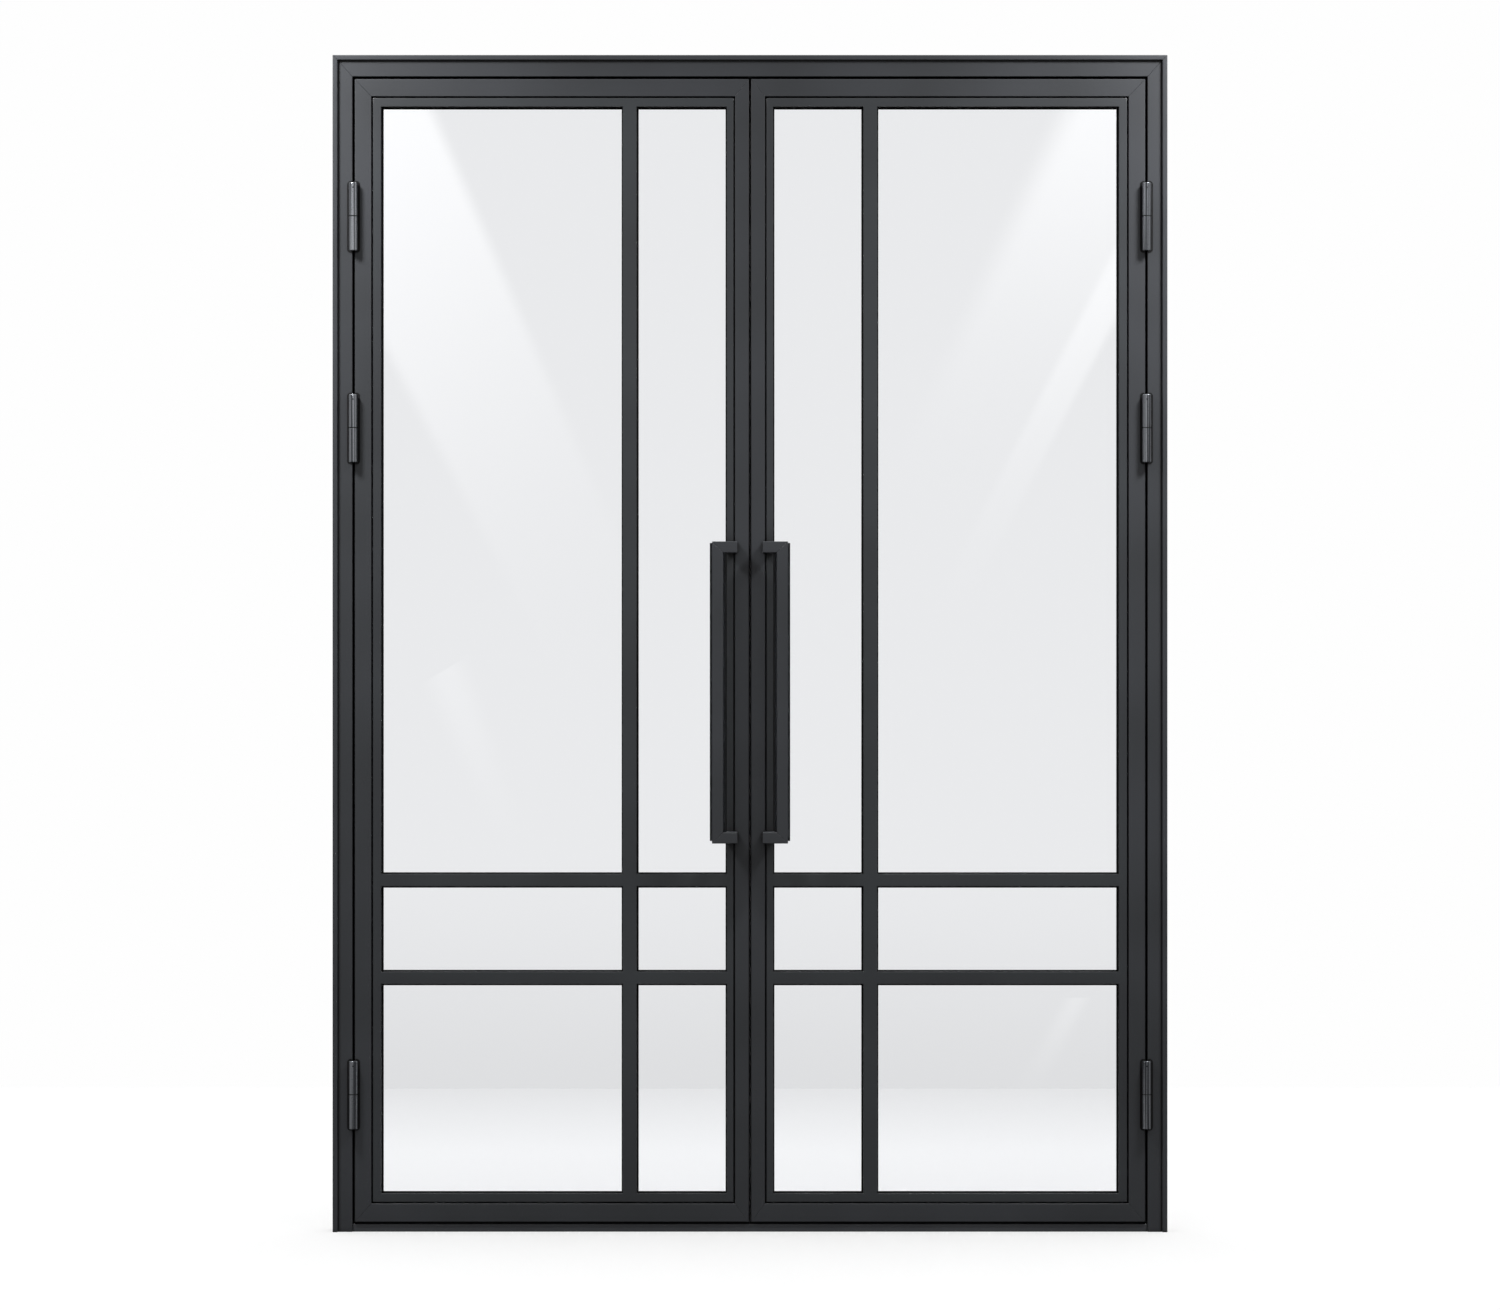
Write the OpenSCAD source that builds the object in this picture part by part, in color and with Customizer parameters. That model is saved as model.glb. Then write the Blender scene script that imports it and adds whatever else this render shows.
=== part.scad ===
// Steel-framed glazed double doors with their frame: two mirrored leaves on weld-on lift-off hinges.
// X runs across the opening, -Y faces the front, Z is up. The origin is on the floor at the middle of
// the threshold's underside, on the plane halfway through the frame's depth.

/* [Frame] */
// Overall width of the frame
frame_w = 1500; // [1300:10:1700]
// Overall height of the frame
frame_h = 2115; // [1900:5:2400]
// Depth of the frame from its face to its back
frame_d = 60; // [58:1:80]
// Width of the raised lip round the outside
lip_w = 9; // [6:0.5:14]
// How far the lip stands in front of the frame's face
lip_proud = 6; // [3:0.5:10]
// Width of a jamb's face inside the lip
jamb_face_w = 26.5; // [24:0.5:40]
// Height of the head's face inside the lip
head_face_h = 29.5; // [24:0.5:45]
// How far the stop reaches in behind the leaves
stop_reach = 15; // [14:0.5:20]
// Depth of the stop
stop_d = 16; // [12:1:20]
// Wall thickness of the hollow steel sections
wall = 2; // [1.5:0.5:3]
// Height of the threshold bar
threshold_h = 13.8; // [10:0.2:20]
// How far the threshold's face is set back from the frame's face
threshold_setback = 4; // [2:0.5:8]

/* [Leaves] */
// Clearance round each leaf, and between the two
gap = 4; // [3.5:0.5:5]
// Depth of a leaf
leaf_d = 40; // [36:1:40]
// Width of the stile that carries the hinges
hinge_stile_w = 30; // [26:0.5:45]
// Width of the stile in the middle of the doorway
meeting_stile_w = 25; // [24:0.5:40]
// Height of the top rail
top_rail_h = 31.5; // [26:0.5:60]
// Height of the bottom rail
bottom_rail_h = 33.2; // [26:0.2:120]
// Radius on the long edges of the steel
edge_r = 1.5; // [0.5:0.25:1.75]

/* [Glazing] */
// Width of the bead beside the hinge stile
hinge_bead_w = 17.5; // [14:0.5:24]
// Width of the bead beside the meeting stile
meeting_bead_w = 14.7; // [14:0.1:24]
// Height of the bead under the top rail
top_bead_h = 18.2; // [14:0.2:24]
// Height of the bead over the bottom rail
bottom_bead_h = 18; // [14:0.5:24]
// Depth of a bead or bar, in front of the glass and behind it
bead_d = 14; // [12:0.5:14.5]
// Thickness of the glass pane
glass_t = 6; // [6:0.5:8]
// Width of the vertical glazing bar
vertical_bar_w = 25; // [18:0.5:40]
// Distance of the vertical bar from the middle of the doorway
vertical_bar_x = 216.2; // [160:0.2:400]
// Height of a horizontal glazing bar
cross_bar_h = 22; // [18:0.5:40]
// Height of the lower and the upper horizontal bar above the floor
cross_bar_z = [456.6, 632.3]; // [300:0.1:900]
// How far the gasket shows past the steel
gasket_reveal = 2; // [1:0.25:3]
// Width of the seal along the meeting edge of each leaf
meeting_seal_w = 6; // [4:0.5:8]
// Gap between the two meeting seals
meeting_seal_gap = 0.4; // [0.4:0.1:2]
// How far behind the front of the leaf the meeting seal starts
meeting_seal_in = 5; // [3:0.5:12]

/* [Hinges] */
// Heights of the hinges above the floor
hinge_z = [246.6, 1444.1, 1824.4]; // [150:0.1:2000]
// Radius of the barrel
barrel_r = 8; // [7:0.5:9]
// Length of the lower half of the barrel, on the frame
frame_knuckle_h = 61.5; // [50:0.5:70]
// Length of the upper half of the barrel, on the leaf
leaf_knuckle_h = 59.5; // [50:0.5:70]
// Thickness of the washer between the two
washer_t = 1.5; // [1:0.25:3]
// Radius of the hinge pin
pin_r = 5; // [4:0.5:5]
// Thickness of the rubber pads behind the barrel
pad_t = 0.3; // [0.2:0.05:0.35]
// How far the pads reach out from the hinge's axis
pad_reach = 11.5; // [10:0.5:12]
// How far the pads reach past both ends of the barrel
pad_margin = 3; // [1:0.5:6]
// Radius of the pads' outer corners
pad_corner_r = 6; // [1:0.5:7]

/* [Pulls] */
// Overall height of a pull
pull_h = 540; // [300:10:900]
// Height of the middle of a pull above the floor
pull_z = 970; // [900:5:1100]
// Side of the square bar that a pull is made of
pull_bar = 20; // [16:1:24]
// Space between a pull's grip and the leaf
pull_reach = 40; // [35:1:60]
// Distance of the front grip's inner edge from the middle of the doorway
front_grip_x = 48; // [46:0.5:90]
// Distance of the rear grip's inner edge from the middle of the doorway
rear_grip_x = 42.8; // [42:0.1:90]
// Width of the rear grip
rear_grip_w = 30; // [16:1:32]
// Distance of the ends of a pull's arms from the middle of the doorway
arm_end_x = 22.6; // [18:0.1:24]

/* [Fixings] */
// Radius of the holes for the wall fixings
fixing_hole_r = 3.25; // [2.5:0.25:4]
// Heights of the holes in each jamb, as a lower pair and an upper pair
fixing_z = [[150, 600], [1100, 1950]]; // [100:10:2000]
// Distance of the head's holes from the middle
fixing_x = 400; // [200:10:600]

/* [Hidden] */
$fn = 48;
SIDES = ["left", "right"];
LEVELS = ["bottom", "middle", "top"];
FRAME_PARTS = ["jamb_left", "jamb_right", "head", "threshold", "frame_seal", "catch_magnets",
    "hinge_pins", "hinge_washers"];
LEAF_PARTS = ["hinge_stile", "meeting_stile", "top_rail", "bottom_rail", "bead_hinge_side",
    "bead_meeting_side", "bead_top", "bead_bottom", "bar_vertical", "bar_upper", "bar_lower",
    "rear_beads", "rear_bars", "bead_screws", "glass", "leaf_gaskets", "catch_plate",
    "pull_front", "pull_rear", "pull_studs"];

steel = [0.24, 0.25, 0.27];
steel_dark = [0.20, 0.21, 0.23];
rubber = [0.05, 0.05, 0.055];
zinc = [0.62, 0.63, 0.64];
clear = [0.90, 0.93, 0.95, 0.35];

// Planes through the depth
face_y = -frame_d / 2;
back_y = frame_d / 2;
stop_y = back_y - stop_d;
leaf_back_y = face_y + leaf_d;
front_bead_y = [face_y, face_y + bead_d];
glass_y = [(face_y + leaf_back_y - glass_t) / 2, (face_y + leaf_back_y + glass_t) / 2];
rear_bead_y = [leaf_back_y - bead_d, leaf_back_y];
cut_d = 400;

// Edges of the frame, for the right-hand side
outer_x = frame_w / 2;
lip_x = outer_x - lip_w;
rebate_x = lip_x - jamb_face_w;
stop_x = rebate_x - stop_reach;
lip_z = frame_h - lip_w;
rebate_z = lip_z - head_face_h;
stop_z = rebate_z - stop_reach;

// Edges of the right leaf, as [inner or low, outer or high], outside in
leaf_x = [gap / 2, rebate_x - gap];
leaf_z = [threshold_h + gap, rebate_z - gap];
sash_x = [leaf_x[0] + meeting_stile_w, leaf_x[1] - hinge_stile_w];
sash_z = [leaf_z[0] + bottom_rail_h, leaf_z[1] - top_rail_h];
sight_x = [sash_x[0] + meeting_bead_w, sash_x[1] - hinge_bead_w];
sight_z = [sash_z[0] + bottom_bead_h, sash_z[1] - top_bead_h];
glass_bite = [6, 3.4];
bar_x = [vertical_bar_x - vertical_bar_w / 2, vertical_bar_x + vertical_bar_w / 2];
rear_joint = 0.2;

// Hinge
axis_x = rebate_x - gap / 2;
barrel_clear = 0.5;
axis_y = face_y - barrel_r - barrel_clear;
flag_t = 3;
flag_back_y = face_y + 24;
flag_edge = 3;
barrel_ease = 1.2;
pin_fit = 0.05;
pin_depth = 42;

// Weather seal and catch
seal_w = 8;
seal_inset = 2;
seal_clear = 0.3;
magnet_r = 4.5;
magnet_len = 12;
magnet_x = 60;
magnet_z = (stop_z + leaf_z[1]) / 2;
magnet_gap = 0.5;
plate_t = 1.5;
plate_w = 30;
seal_break = 22;

// Bead screws and pull studs
screw_r = 1.9;
screw_fit = 0.1;
screw_head_r = 3.4;
screw_head_h = 1.8;
screw_tip = 4;
screw_y = (rear_bead_y[0] + rear_bead_y[1]) / 2;
stud_r = 3;
stud_fit = 0.05;
stud_depth = 24;
post_w = pull_bar;
post_x = arm_end_x + post_w / 2;
post_z = [pull_z - pull_h / 2 + pull_bar / 2, pull_z + pull_h / 2 - pull_bar / 2];
pull_ease = 1.5;

// Points of the arc that rounds a corner at p, whose sides leave along the unit vectors a and b
function corner_arc(p, a, b, r, steps = 4) =
    let (half = acos(a * b) / 2, centre = p + (a + b) / norm(a + b) * r / sin(half),
         from = (p + a * r / tan(half) - centre) / r, to = (p + b * r / tan(half) - centre) / r,
         sweep = 180 - 2 * half)
    [for (k = [0:steps]) let (t = k / steps)
        centre + r * (sin((1 - t) * sweep) * from + sin(t * sweep) * to) / sin(sweep)];

// An outline with each corner rounded to its own radius, where 0 leaves the corner sharp
function eased(points, radii) = let (n = len(points)) [for (i = [0:n - 1])
    let (p = points[i], a = points[(i + n - 1) % n] - p, b = points[(i + 1) % n] - p)
    each radii[i] == 0 ? [p] : corner_arc(p, a / norm(a), b / norm(b), radii[i])];

function rectangle(x, y) = [[x[0], y[0]], [x[1], y[0]], [x[1], y[1]], [x[0], y[1]]];

// A bar standing up between the heights z, with the plan of its children
module upright(z) translate([0, 0, z[0]]) linear_extrude(z[1] - z[0]) children();

// A bar lying across between the places x, with a section drawn as [depth, height]
module crossways(x) translate([x[0], 0, 0]) rotate([90, 0, 90]) linear_extrude(x[1] - x[0]) children();

// What lies inside an elevation, at any depth
module trimmed(elevation) intersection() {
    children();
    translate([0, cut_d / 2, 0]) rotate([90, 0, 0]) linear_extrude(cut_d) polygon(elevation);
}

// A turned part standing on z = 0, with both ends eased
module turned(r, h, ease) rotate_extrude()
    polygon([[0, 0], [r - ease, 0], [r, ease], [r, h - ease], [r - ease, h], [0, h]]);

// A round bar or hole from the point p, along an axis given as the rotation that carries +Z there
module rod(p, turn, r, len) translate(p) rotate(turn) cylinder(r = r, h = len);

module on_side(side) mirror([side == "left" ? 1 : 0, 0, 0]) children();

// ---- Outer frame -------------------------------------------------------------------------------

// Section of the frame's hollow bar, from its outer edge at u = 0 inwards, with v as the depth
module frame_section(face_w) difference() {
    polygon(eased(
        [[0, face_y - lip_proud], [lip_w, face_y - lip_proud], [lip_w, face_y], [lip_w + face_w, face_y],
         [lip_w + face_w, stop_y], [lip_w + face_w + stop_reach, stop_y],
         [lip_w + face_w + stop_reach, back_y], [0, back_y]],
        [edge_r, edge_r, 0, edge_r, 0, edge_r, edge_r, edge_r]));
    polygon([[wall, face_y + wall], [lip_w + face_w - wall, face_y + wall],
        [lip_w + face_w - wall, stop_y + wall], [lip_w + face_w + stop_reach - wall, stop_y + wall],
        [lip_w + face_w + stop_reach - wall, back_y - wall], [wall, back_y - wall]]);
}

module jamb() color(steel) difference() {
    trimmed([[outer_x, 0], [outer_x, frame_h], [lip_x, lip_z], [rebate_x, rebate_z],
             [stop_x, stop_z], [stop_x, 0]])
        upright([0, frame_h]) translate([outer_x, 0]) mirror([1, 0]) frame_section(jamb_face_w);
    for (pair = fixing_z, z = pair)
        rod([stop_x, 0, z], [0, 90, 0], fixing_hole_r, frame_w);
}

module head() color(steel) difference() {
    trimmed([[-outer_x, frame_h], [outer_x, frame_h], [lip_x, lip_z], [rebate_x, rebate_z],
             [stop_x, stop_z], [-stop_x, stop_z], [-rebate_x, rebate_z], [-lip_x, lip_z]])
        crossways([-outer_x, outer_x]) translate([0, frame_h]) rotate(-90) frame_section(head_face_h);
    for (x = [-fixing_x, fixing_x])
        rod([x, 0, stop_z], [0, 0, 0], fixing_hole_r, frame_h);
    magnets();
}

module threshold() color(steel) crossways([-rebate_x, rebate_x])
    polygon(eased(rectangle([face_y + threshold_setback, stop_y - seal_clear], [0, threshold_h]),
        [0, 0, edge_r, edge_r]));

// Section of the weather seal, with the stop at v = 0 and its soft face at v = -h
function seal_section(h) = eased(rectangle([0, seal_w], [-h, 0]), [3, 3, 0, 0]);

module head_seal_section(h, low_z) translate([stop_y, low_z]) mirror([1, -1]) polygon(seal_section(h));

module frame_seal() color(rubber) {
    seal_h = stop_y - leaf_back_y - seal_clear;
    low_z = stop_z + seal_inset;
    for (m = [0, 1]) mirror([m, 0, 0]) {
        upright([threshold_h, low_z + seal_w]) translate([stop_x + seal_inset, stop_y])
            polygon(seal_section(seal_h));
        crossways([magnet_x + seal_break, stop_x + seal_inset]) head_seal_section(seal_h, low_z);
    }
    crossways([seal_break - magnet_x, magnet_x - seal_break]) head_seal_section(seal_h, low_z);
    for (side = SIDES) on_side(side) hinge_pads(rebate_x + edge_r, axis_x + pad_reach);
}

// Both magnets, let into the head's stop
module magnets() for (x = [-magnet_x, magnet_x])
    rod([x, leaf_back_y + plate_t + magnet_gap, magnet_z], [-90, 0, 0], magnet_r, magnet_len);

module catch_magnets() color(zinc) magnets();

// ---- Hinges ------------------------------------------------------------------------------------

// Half a barrel from z = 0 up, with its flag lying in the gap from flag_x
module knuckle(h, flag_x, bore_z, bore_h) difference() {
    union() {
        translate([axis_x, axis_y, 0]) turned(barrel_r, h, barrel_ease);
        translate([flag_x, axis_y + pin_r + 1, flag_edge])
            cube([flag_t, flag_back_y - axis_y - pin_r - 1, h - 2 * flag_edge]);
    }
    translate([axis_x, axis_y, bore_z]) cylinder(r = pin_r + pin_fit, h = bore_h);
}

function hinge_base(z) = z - (frame_knuckle_h + washer_t + leaf_knuckle_h) / 2;

module frame_knuckle(z) color(steel) translate([0, 0, hinge_base(z)])
    knuckle(frame_knuckle_h, rebate_x - flag_t, frame_knuckle_h - pin_depth, pin_depth + 1);

module leaf_knuckle(z) color(steel) translate([0, 0, hinge_base(z) + frame_knuckle_h + washer_t])
    knuckle(leaf_knuckle_h, leaf_x[1], -1, pin_depth + 1);

module hinge_pins() color(zinc) for (side = SIDES, z = hinge_z) on_side(side)
    translate([axis_x, axis_y, hinge_base(z) + frame_knuckle_h - pin_depth])
        turned(pin_r, 2 * pin_depth + washer_t - 1, 0.8);

module hinge_washers() color(steel_dark) for (side = SIDES, z = hinge_z) on_side(side)
    translate([axis_x, axis_y, hinge_base(z) + frame_knuckle_h]) difference() {
        cylinder(r = barrel_r - 1, h = washer_t);
        translate([0, 0, -1]) cylinder(r = pin_r + 2 * pin_fit, h = washer_t + 2);
    }

// Thin pads behind the barrels, from near_x at the gap out to far_x. They save the coat from chips.
module hinge_pads(near_x, far_x) for (z = hinge_z) {
    reach_z = (frame_knuckle_h + washer_t + leaf_knuckle_h) / 2 + pad_margin;
    translate([0, face_y, z]) rotate([90, 0, 0]) linear_extrude(pad_t) polygon(eased(
        [[near_x, -reach_z], [far_x, -reach_z], [far_x, reach_z], [near_x, reach_z]],
        [0, pad_corner_r, pad_corner_r, 0]));
}

// ---- Leaf frame --------------------------------------------------------------------------------

// Elevation of one side of a mitred ring between an outer and an inner rectangle, where the top and
// the bottom stay clear of the uprights by j
function ring_side(which, ox, oz, ix, iz, j = 0) =
    which == "hinge" ? [[ox[1], oz[0]], [ox[1], oz[1]], [ix[1], iz[1]], [ix[1], iz[0]]]
    : which == "meeting" ? [[ox[0], oz[0]], [ix[0], iz[0]], [ix[0], iz[1]], [ox[0], oz[1]]]
    : which == "top" ? [[ox[0] + j, oz[1]], [ix[0] + j, iz[1]], [ix[1] - j, iz[1]], [ox[1] - j, oz[1]]]
    : [[ox[0] + j, oz[0]], [ox[1] - j, oz[0]], [ix[1] - j, iz[0]], [ix[0] + j, iz[0]]];

// Section of a leaf's hollow bar between two edges
module tube_section(edges, across) difference() {
    depth = [face_y, leaf_back_y];
    outside = across ? rectangle(depth, edges) : rectangle(edges, depth);
    hollow_edges = [edges[0] + wall, edges[1] - wall];
    hollow_depth = [depth[0] + wall, depth[1] - wall];
    polygon(eased(outside, [edge_r, edge_r, edge_r, edge_r]));
    polygon(across ? rectangle(hollow_depth, hollow_edges) : rectangle(hollow_edges, hollow_depth));
}

module stile(which, edges) color(steel) difference() {
    trimmed(ring_side(which, leaf_x, leaf_z, sash_x, sash_z))
        upright(leaf_z) tube_section(edges, false);
    screw_holes();
}

module rail(which, edges) color(steel) difference() {
    trimmed(ring_side(which, leaf_x, leaf_z, sash_x, sash_z))
        crossways(leaf_x) tube_section(edges, true);
    screw_holes();
}

module hinge_stile() stile("hinge", [sash_x[1], leaf_x[1]]);
module meeting_stile() stile("meeting", [leaf_x[0], sash_x[0]]);
module top_rail() rail("top", [sash_z[1], leaf_z[1]]);
module bottom_rail() rail("bottom", [leaf_z[0], sash_z[0]]);

// ---- Glazing -----------------------------------------------------------------------------------

// One side of the bead ring, in front of the glass or behind it
module bead(which, depth, ease, joint = 0) {
    upright_bead = which == "hinge" || which == "meeting";
    edges = which == "hinge" ? [sight_x[1], sash_x[1]] : which == "meeting" ? [sash_x[0], sight_x[0]]
        : which == "top" ? [sight_z[1], sash_z[1]] : [sash_z[0], sight_z[0]];
    trimmed(ring_side(which, sash_x, sash_z, sight_x, sight_z, joint))
        if (upright_bead) upright(sash_z) polygon(eased(rectangle(edges, depth), ease));
        else crossways(sash_x) polygon(eased(rectangle(depth, edges), ease));
}

// The outside edge of each bead is eased where it meets the stile or rail
module front_bead(which) color(steel) difference() {
    bead(which, front_bead_y, which == "hinge" ? [0, edge_r, 0, 0]
        : which == "top" ? [0, 0, 0, edge_r] : [edge_r, 0, 0, 0]);
    stud_holes();
}

module rear_beads() color(steel) difference() {
    for (which = ["hinge", "meeting", "top", "bottom"]) bead(which, rear_bead_y, [0, 0, 0, 0], rear_joint);
    stud_holes();
    screw_holes();
}

module vertical_bar(depth) upright(sight_z) polygon(rectangle(bar_x, depth));

// A horizontal bar stops on each side of the vertical one, clear of its neighbours by joint
module cross_bar(z, depth, joint = 0) for (x = [[sight_x[0], bar_x[0]], [bar_x[1], sight_x[1]]])
    crossways([x[0] + joint, x[1] - joint])
        polygon(rectangle(depth, [z - cross_bar_h / 2, z + cross_bar_h / 2]));

module bar_vertical() color(steel) vertical_bar(front_bead_y);
module bar_upper() color(steel) cross_bar(cross_bar_z[1], front_bead_y);
module bar_lower() color(steel) cross_bar(cross_bar_z[0], front_bead_y);

module rear_bars() color(steel) {
    vertical_bar(rear_bead_y);
    for (z = cross_bar_z) cross_bar(z, rear_bead_y, rear_joint);
}

// Places of the bead screws: [point on the bead's inner face, turn that points +Z out to the leaf's edge]
screw_z = [for (k = [0:4]) sight_z[0] + 110 + k * (sight_z[1] - sight_z[0] - 220) / 4];
screw_x = [for (k = [0:2]) sight_x[0] + 80 + k * (sight_x[1] - sight_x[0] - 160) / 2];
screws = concat(
    [for (z = screw_z) [[sight_x[1], screw_y, z], [0, 90, 0], hinge_bead_w]],
    [for (z = screw_z) [[sight_x[0], screw_y, z], [0, -90, 0], meeting_bead_w]],
    [for (x = screw_x) [[x, screw_y, sight_z[1]], [0, 0, 0], top_bead_h]],
    [for (x = screw_x) [[x, screw_y, sight_z[0]], [180, 0, 0], bottom_bead_h]]);

// A countersunk screw that starts flush with the bead's face; grow makes the hole that takes it
module screw(bead_h, grow) {
    cylinder(r1 = screw_head_r + grow, r2 = screw_r + grow, h = screw_head_h);
    cylinder(r = screw_r + grow, h = bead_h + wall + screw_tip);
}

module screw_holes() for (s = screws) translate(s[0]) rotate(s[1]) screw(s[2], screw_fit);
module bead_screws() color(zinc) for (s = screws) translate(s[0]) rotate(s[1]) screw(s[2], 0);

module glass() color(clear) translate([sight_x[0] - glass_bite[1], glass_y[0], sight_z[0] - glass_bite[0]])
    cube([sight_x[1] - sight_x[0] + glass_bite[0] + glass_bite[1], glass_t,
        sight_z[1] - sight_z[0] + 2 * glass_bite[0]]);

// A rubber sheet edge round every light of glass, as the lattice seen from the front
module gasket_outline() difference() {
    polygon(rectangle([sight_x[0] - glass_bite[1], sight_x[1] + glass_bite[0]],
        [sight_z[0] - glass_bite[0], sight_z[1] + glass_bite[0]]));
    xs = [[sight_x[0], bar_x[0]], [bar_x[1], sight_x[1]]];
    half = cross_bar_h / 2;
    zs = [[sight_z[0], cross_bar_z[0] - half], [cross_bar_z[0] + half, cross_bar_z[1] - half],
        [cross_bar_z[1] + half, sight_z[1]]];
    for (x = xs, z = zs) polygon(rectangle([x[0] + gasket_reveal, x[1] - gasket_reveal],
        [z[0] + gasket_reveal, z[1] - gasket_reveal]));
}

module glazing_gaskets() for (y = [[front_bead_y[1], glass_y[0]], [glass_y[1], rear_bead_y[0]]])
    translate([0, y[1], 0]) rotate([90, 0, 0]) linear_extrude(y[1] - y[0]) gasket_outline();

// A rubber nose along the meeting edge, down to the foot of the bottom seal. It stops light, and clears
// the other leaf's as either one swings.
module meeting_seal() {
    tip_x = meeting_seal_gap / 2;
    y = face_y + meeting_seal_in;
    upright([threshold_h + seal_clear, leaf_z[1] - edge_r]) polygon(eased(
        [[tip_x, y + meeting_seal_w / 3], [leaf_x[0], y], [leaf_x[0], y + meeting_seal_w],
         [tip_x, y + meeting_seal_w * 2 / 3]], [0.8, 0, 0, 0.8]));
}

// A rubber strip under the leaf. It stops light, and clears the threshold as the leaf swings.
module bottom_seal() crossways([leaf_x[0], leaf_x[1] - edge_r]) polygon(eased(
    rectangle([face_y + meeting_seal_in, face_y + meeting_seal_in + meeting_seal_w],
        [threshold_h + seal_clear, leaf_z[0]]),
    [1, 1, 0, 0]));

module leaf_gaskets() color(rubber) {
    glazing_gaskets();
    meeting_seal();
    bottom_seal();
    hinge_pads(leaf_x[1] - edge_r, axis_x - pad_reach);
}

module catch_plate() color(zinc)
    translate([magnet_x - plate_w / 2, leaf_back_y, magnet_z - magnet_r])
        cube([plate_w, plate_t, 2 * magnet_r]);

// ---- Pulls -------------------------------------------------------------------------------------

module stud_holes() for (z = post_z)
    rod([post_x, face_y - cut_d / 2, z], [-90, 0, 0], stud_r + stud_fit, cut_d);

// A C-shaped pull of square bar: the grip, two arms towards the meeting stile, and two posts.
// depth is where the bar lies, post where the posts run, bore where their blind holes run.
module pull(grip_x, depth, post, bore) color(steel) difference() {
    z = [pull_z - pull_h / 2, pull_z + pull_h / 2];
    corner_x = grip_x[1] - pull_bar;
    all_round = [pull_ease, pull_ease, pull_ease, pull_ease];
    union() {
        trimmed([[grip_x[1], z[0]], [grip_x[1], z[1]], [corner_x, z[1] - pull_bar],
                 [grip_x[0], z[1] - pull_bar], [grip_x[0], z[0] + pull_bar], [corner_x, z[0] + pull_bar]])
            upright(z) polygon(eased(rectangle(grip_x, depth), all_round));
        for (end = [[z[1] - pull_bar, z[1]], [z[0], z[0] + pull_bar]]) {
            high = end[1] == z[1];
            trimmed([[arm_end_x, end[0]], [arm_end_x, end[1]], [high ? grip_x[1] : corner_x, end[1]],
                     [high ? corner_x : grip_x[1], end[0]]])
                crossways([arm_end_x, grip_x[1]]) polygon(eased(rectangle(depth, end), all_round));
        }
        for (zc = post_z) translate([arm_end_x, post[0], zc - pull_bar / 2 + pull_ease])
            cube([post_w, post[1] - post[0], pull_bar - 2 * pull_ease]);
    }
    for (zc = post_z)
        rod([post_x, bore[0], zc], [-90, 0, 0], stud_r + stud_fit, bore[1] - bore[0]);
}

front_bar_y = [face_y - pull_reach - pull_bar, face_y - pull_reach];
rear_bar_y = [leaf_back_y + pull_reach, leaf_back_y + pull_reach + pull_bar];

module pull_front() pull([front_grip_x, front_grip_x + pull_bar], front_bar_y,
    [front_bar_y[1] - pull_ease, face_y], [face_y - stud_depth - 1, face_y + 1]);

module pull_rear() pull([rear_grip_x, rear_grip_x + rear_grip_w], rear_bar_y,
    [leaf_back_y, rear_bar_y[0] + pull_ease], [leaf_back_y - 1, leaf_back_y + stud_depth + 1]);

module pull_studs() color(zinc) for (z = post_z)
    rod([post_x, face_y - stud_depth, z], [-90, 0, 0], stud_r, leaf_d + 2 * stud_depth);

// ---- Nodes -------------------------------------------------------------------------------------

on_side("left") jamb();  // jamb_left
on_side("right") jamb();  // jamb_right
head();
threshold();
frame_seal();
catch_magnets();
hinge_pins();
hinge_washers();
for (side = SIDES) {
    for (i = [0:len(LEVELS) - 1]) {
        hinge = str(side, "_", LEVELS[i], "_hinge");
        on_side(side) frame_knuckle(hinge_z[i]);
        on_side(side) leaf_knuckle(hinge_z[i]);
    }
    on_side(side) hinge_stile();
    on_side(side) meeting_stile();
    on_side(side) top_rail();
    on_side(side) bottom_rail();
    on_side(side) front_bead("hinge");
    on_side(side) front_bead("meeting");
    on_side(side) front_bead("top");
    on_side(side) front_bead("bottom");
    on_side(side) bar_vertical();
    on_side(side) bar_upper();
    on_side(side) bar_lower();
    on_side(side) rear_beads();
    on_side(side) rear_bars();
    on_side(side) bead_screws();
    on_side(side) glass();
    on_side(side) leaf_gaskets();
    on_side(side) catch_plate();
    on_side(side) pull_front();
    on_side(side) pull_rear();
    on_side(side) pull_studs();
}
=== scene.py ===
"""Double doors of powder-coated steel and clear glass in their frame: the finished looks.

X runs across the doorway, -Y is the front and Z is up. Lengths are in metres. Every piece is drawn for the
right-hand half of the doorway and turned over for the left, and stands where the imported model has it.
"""

import logging
import math
from collections.abc import Mapping, Sequence
from dataclasses import dataclass, field
from enum import Enum

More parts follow.
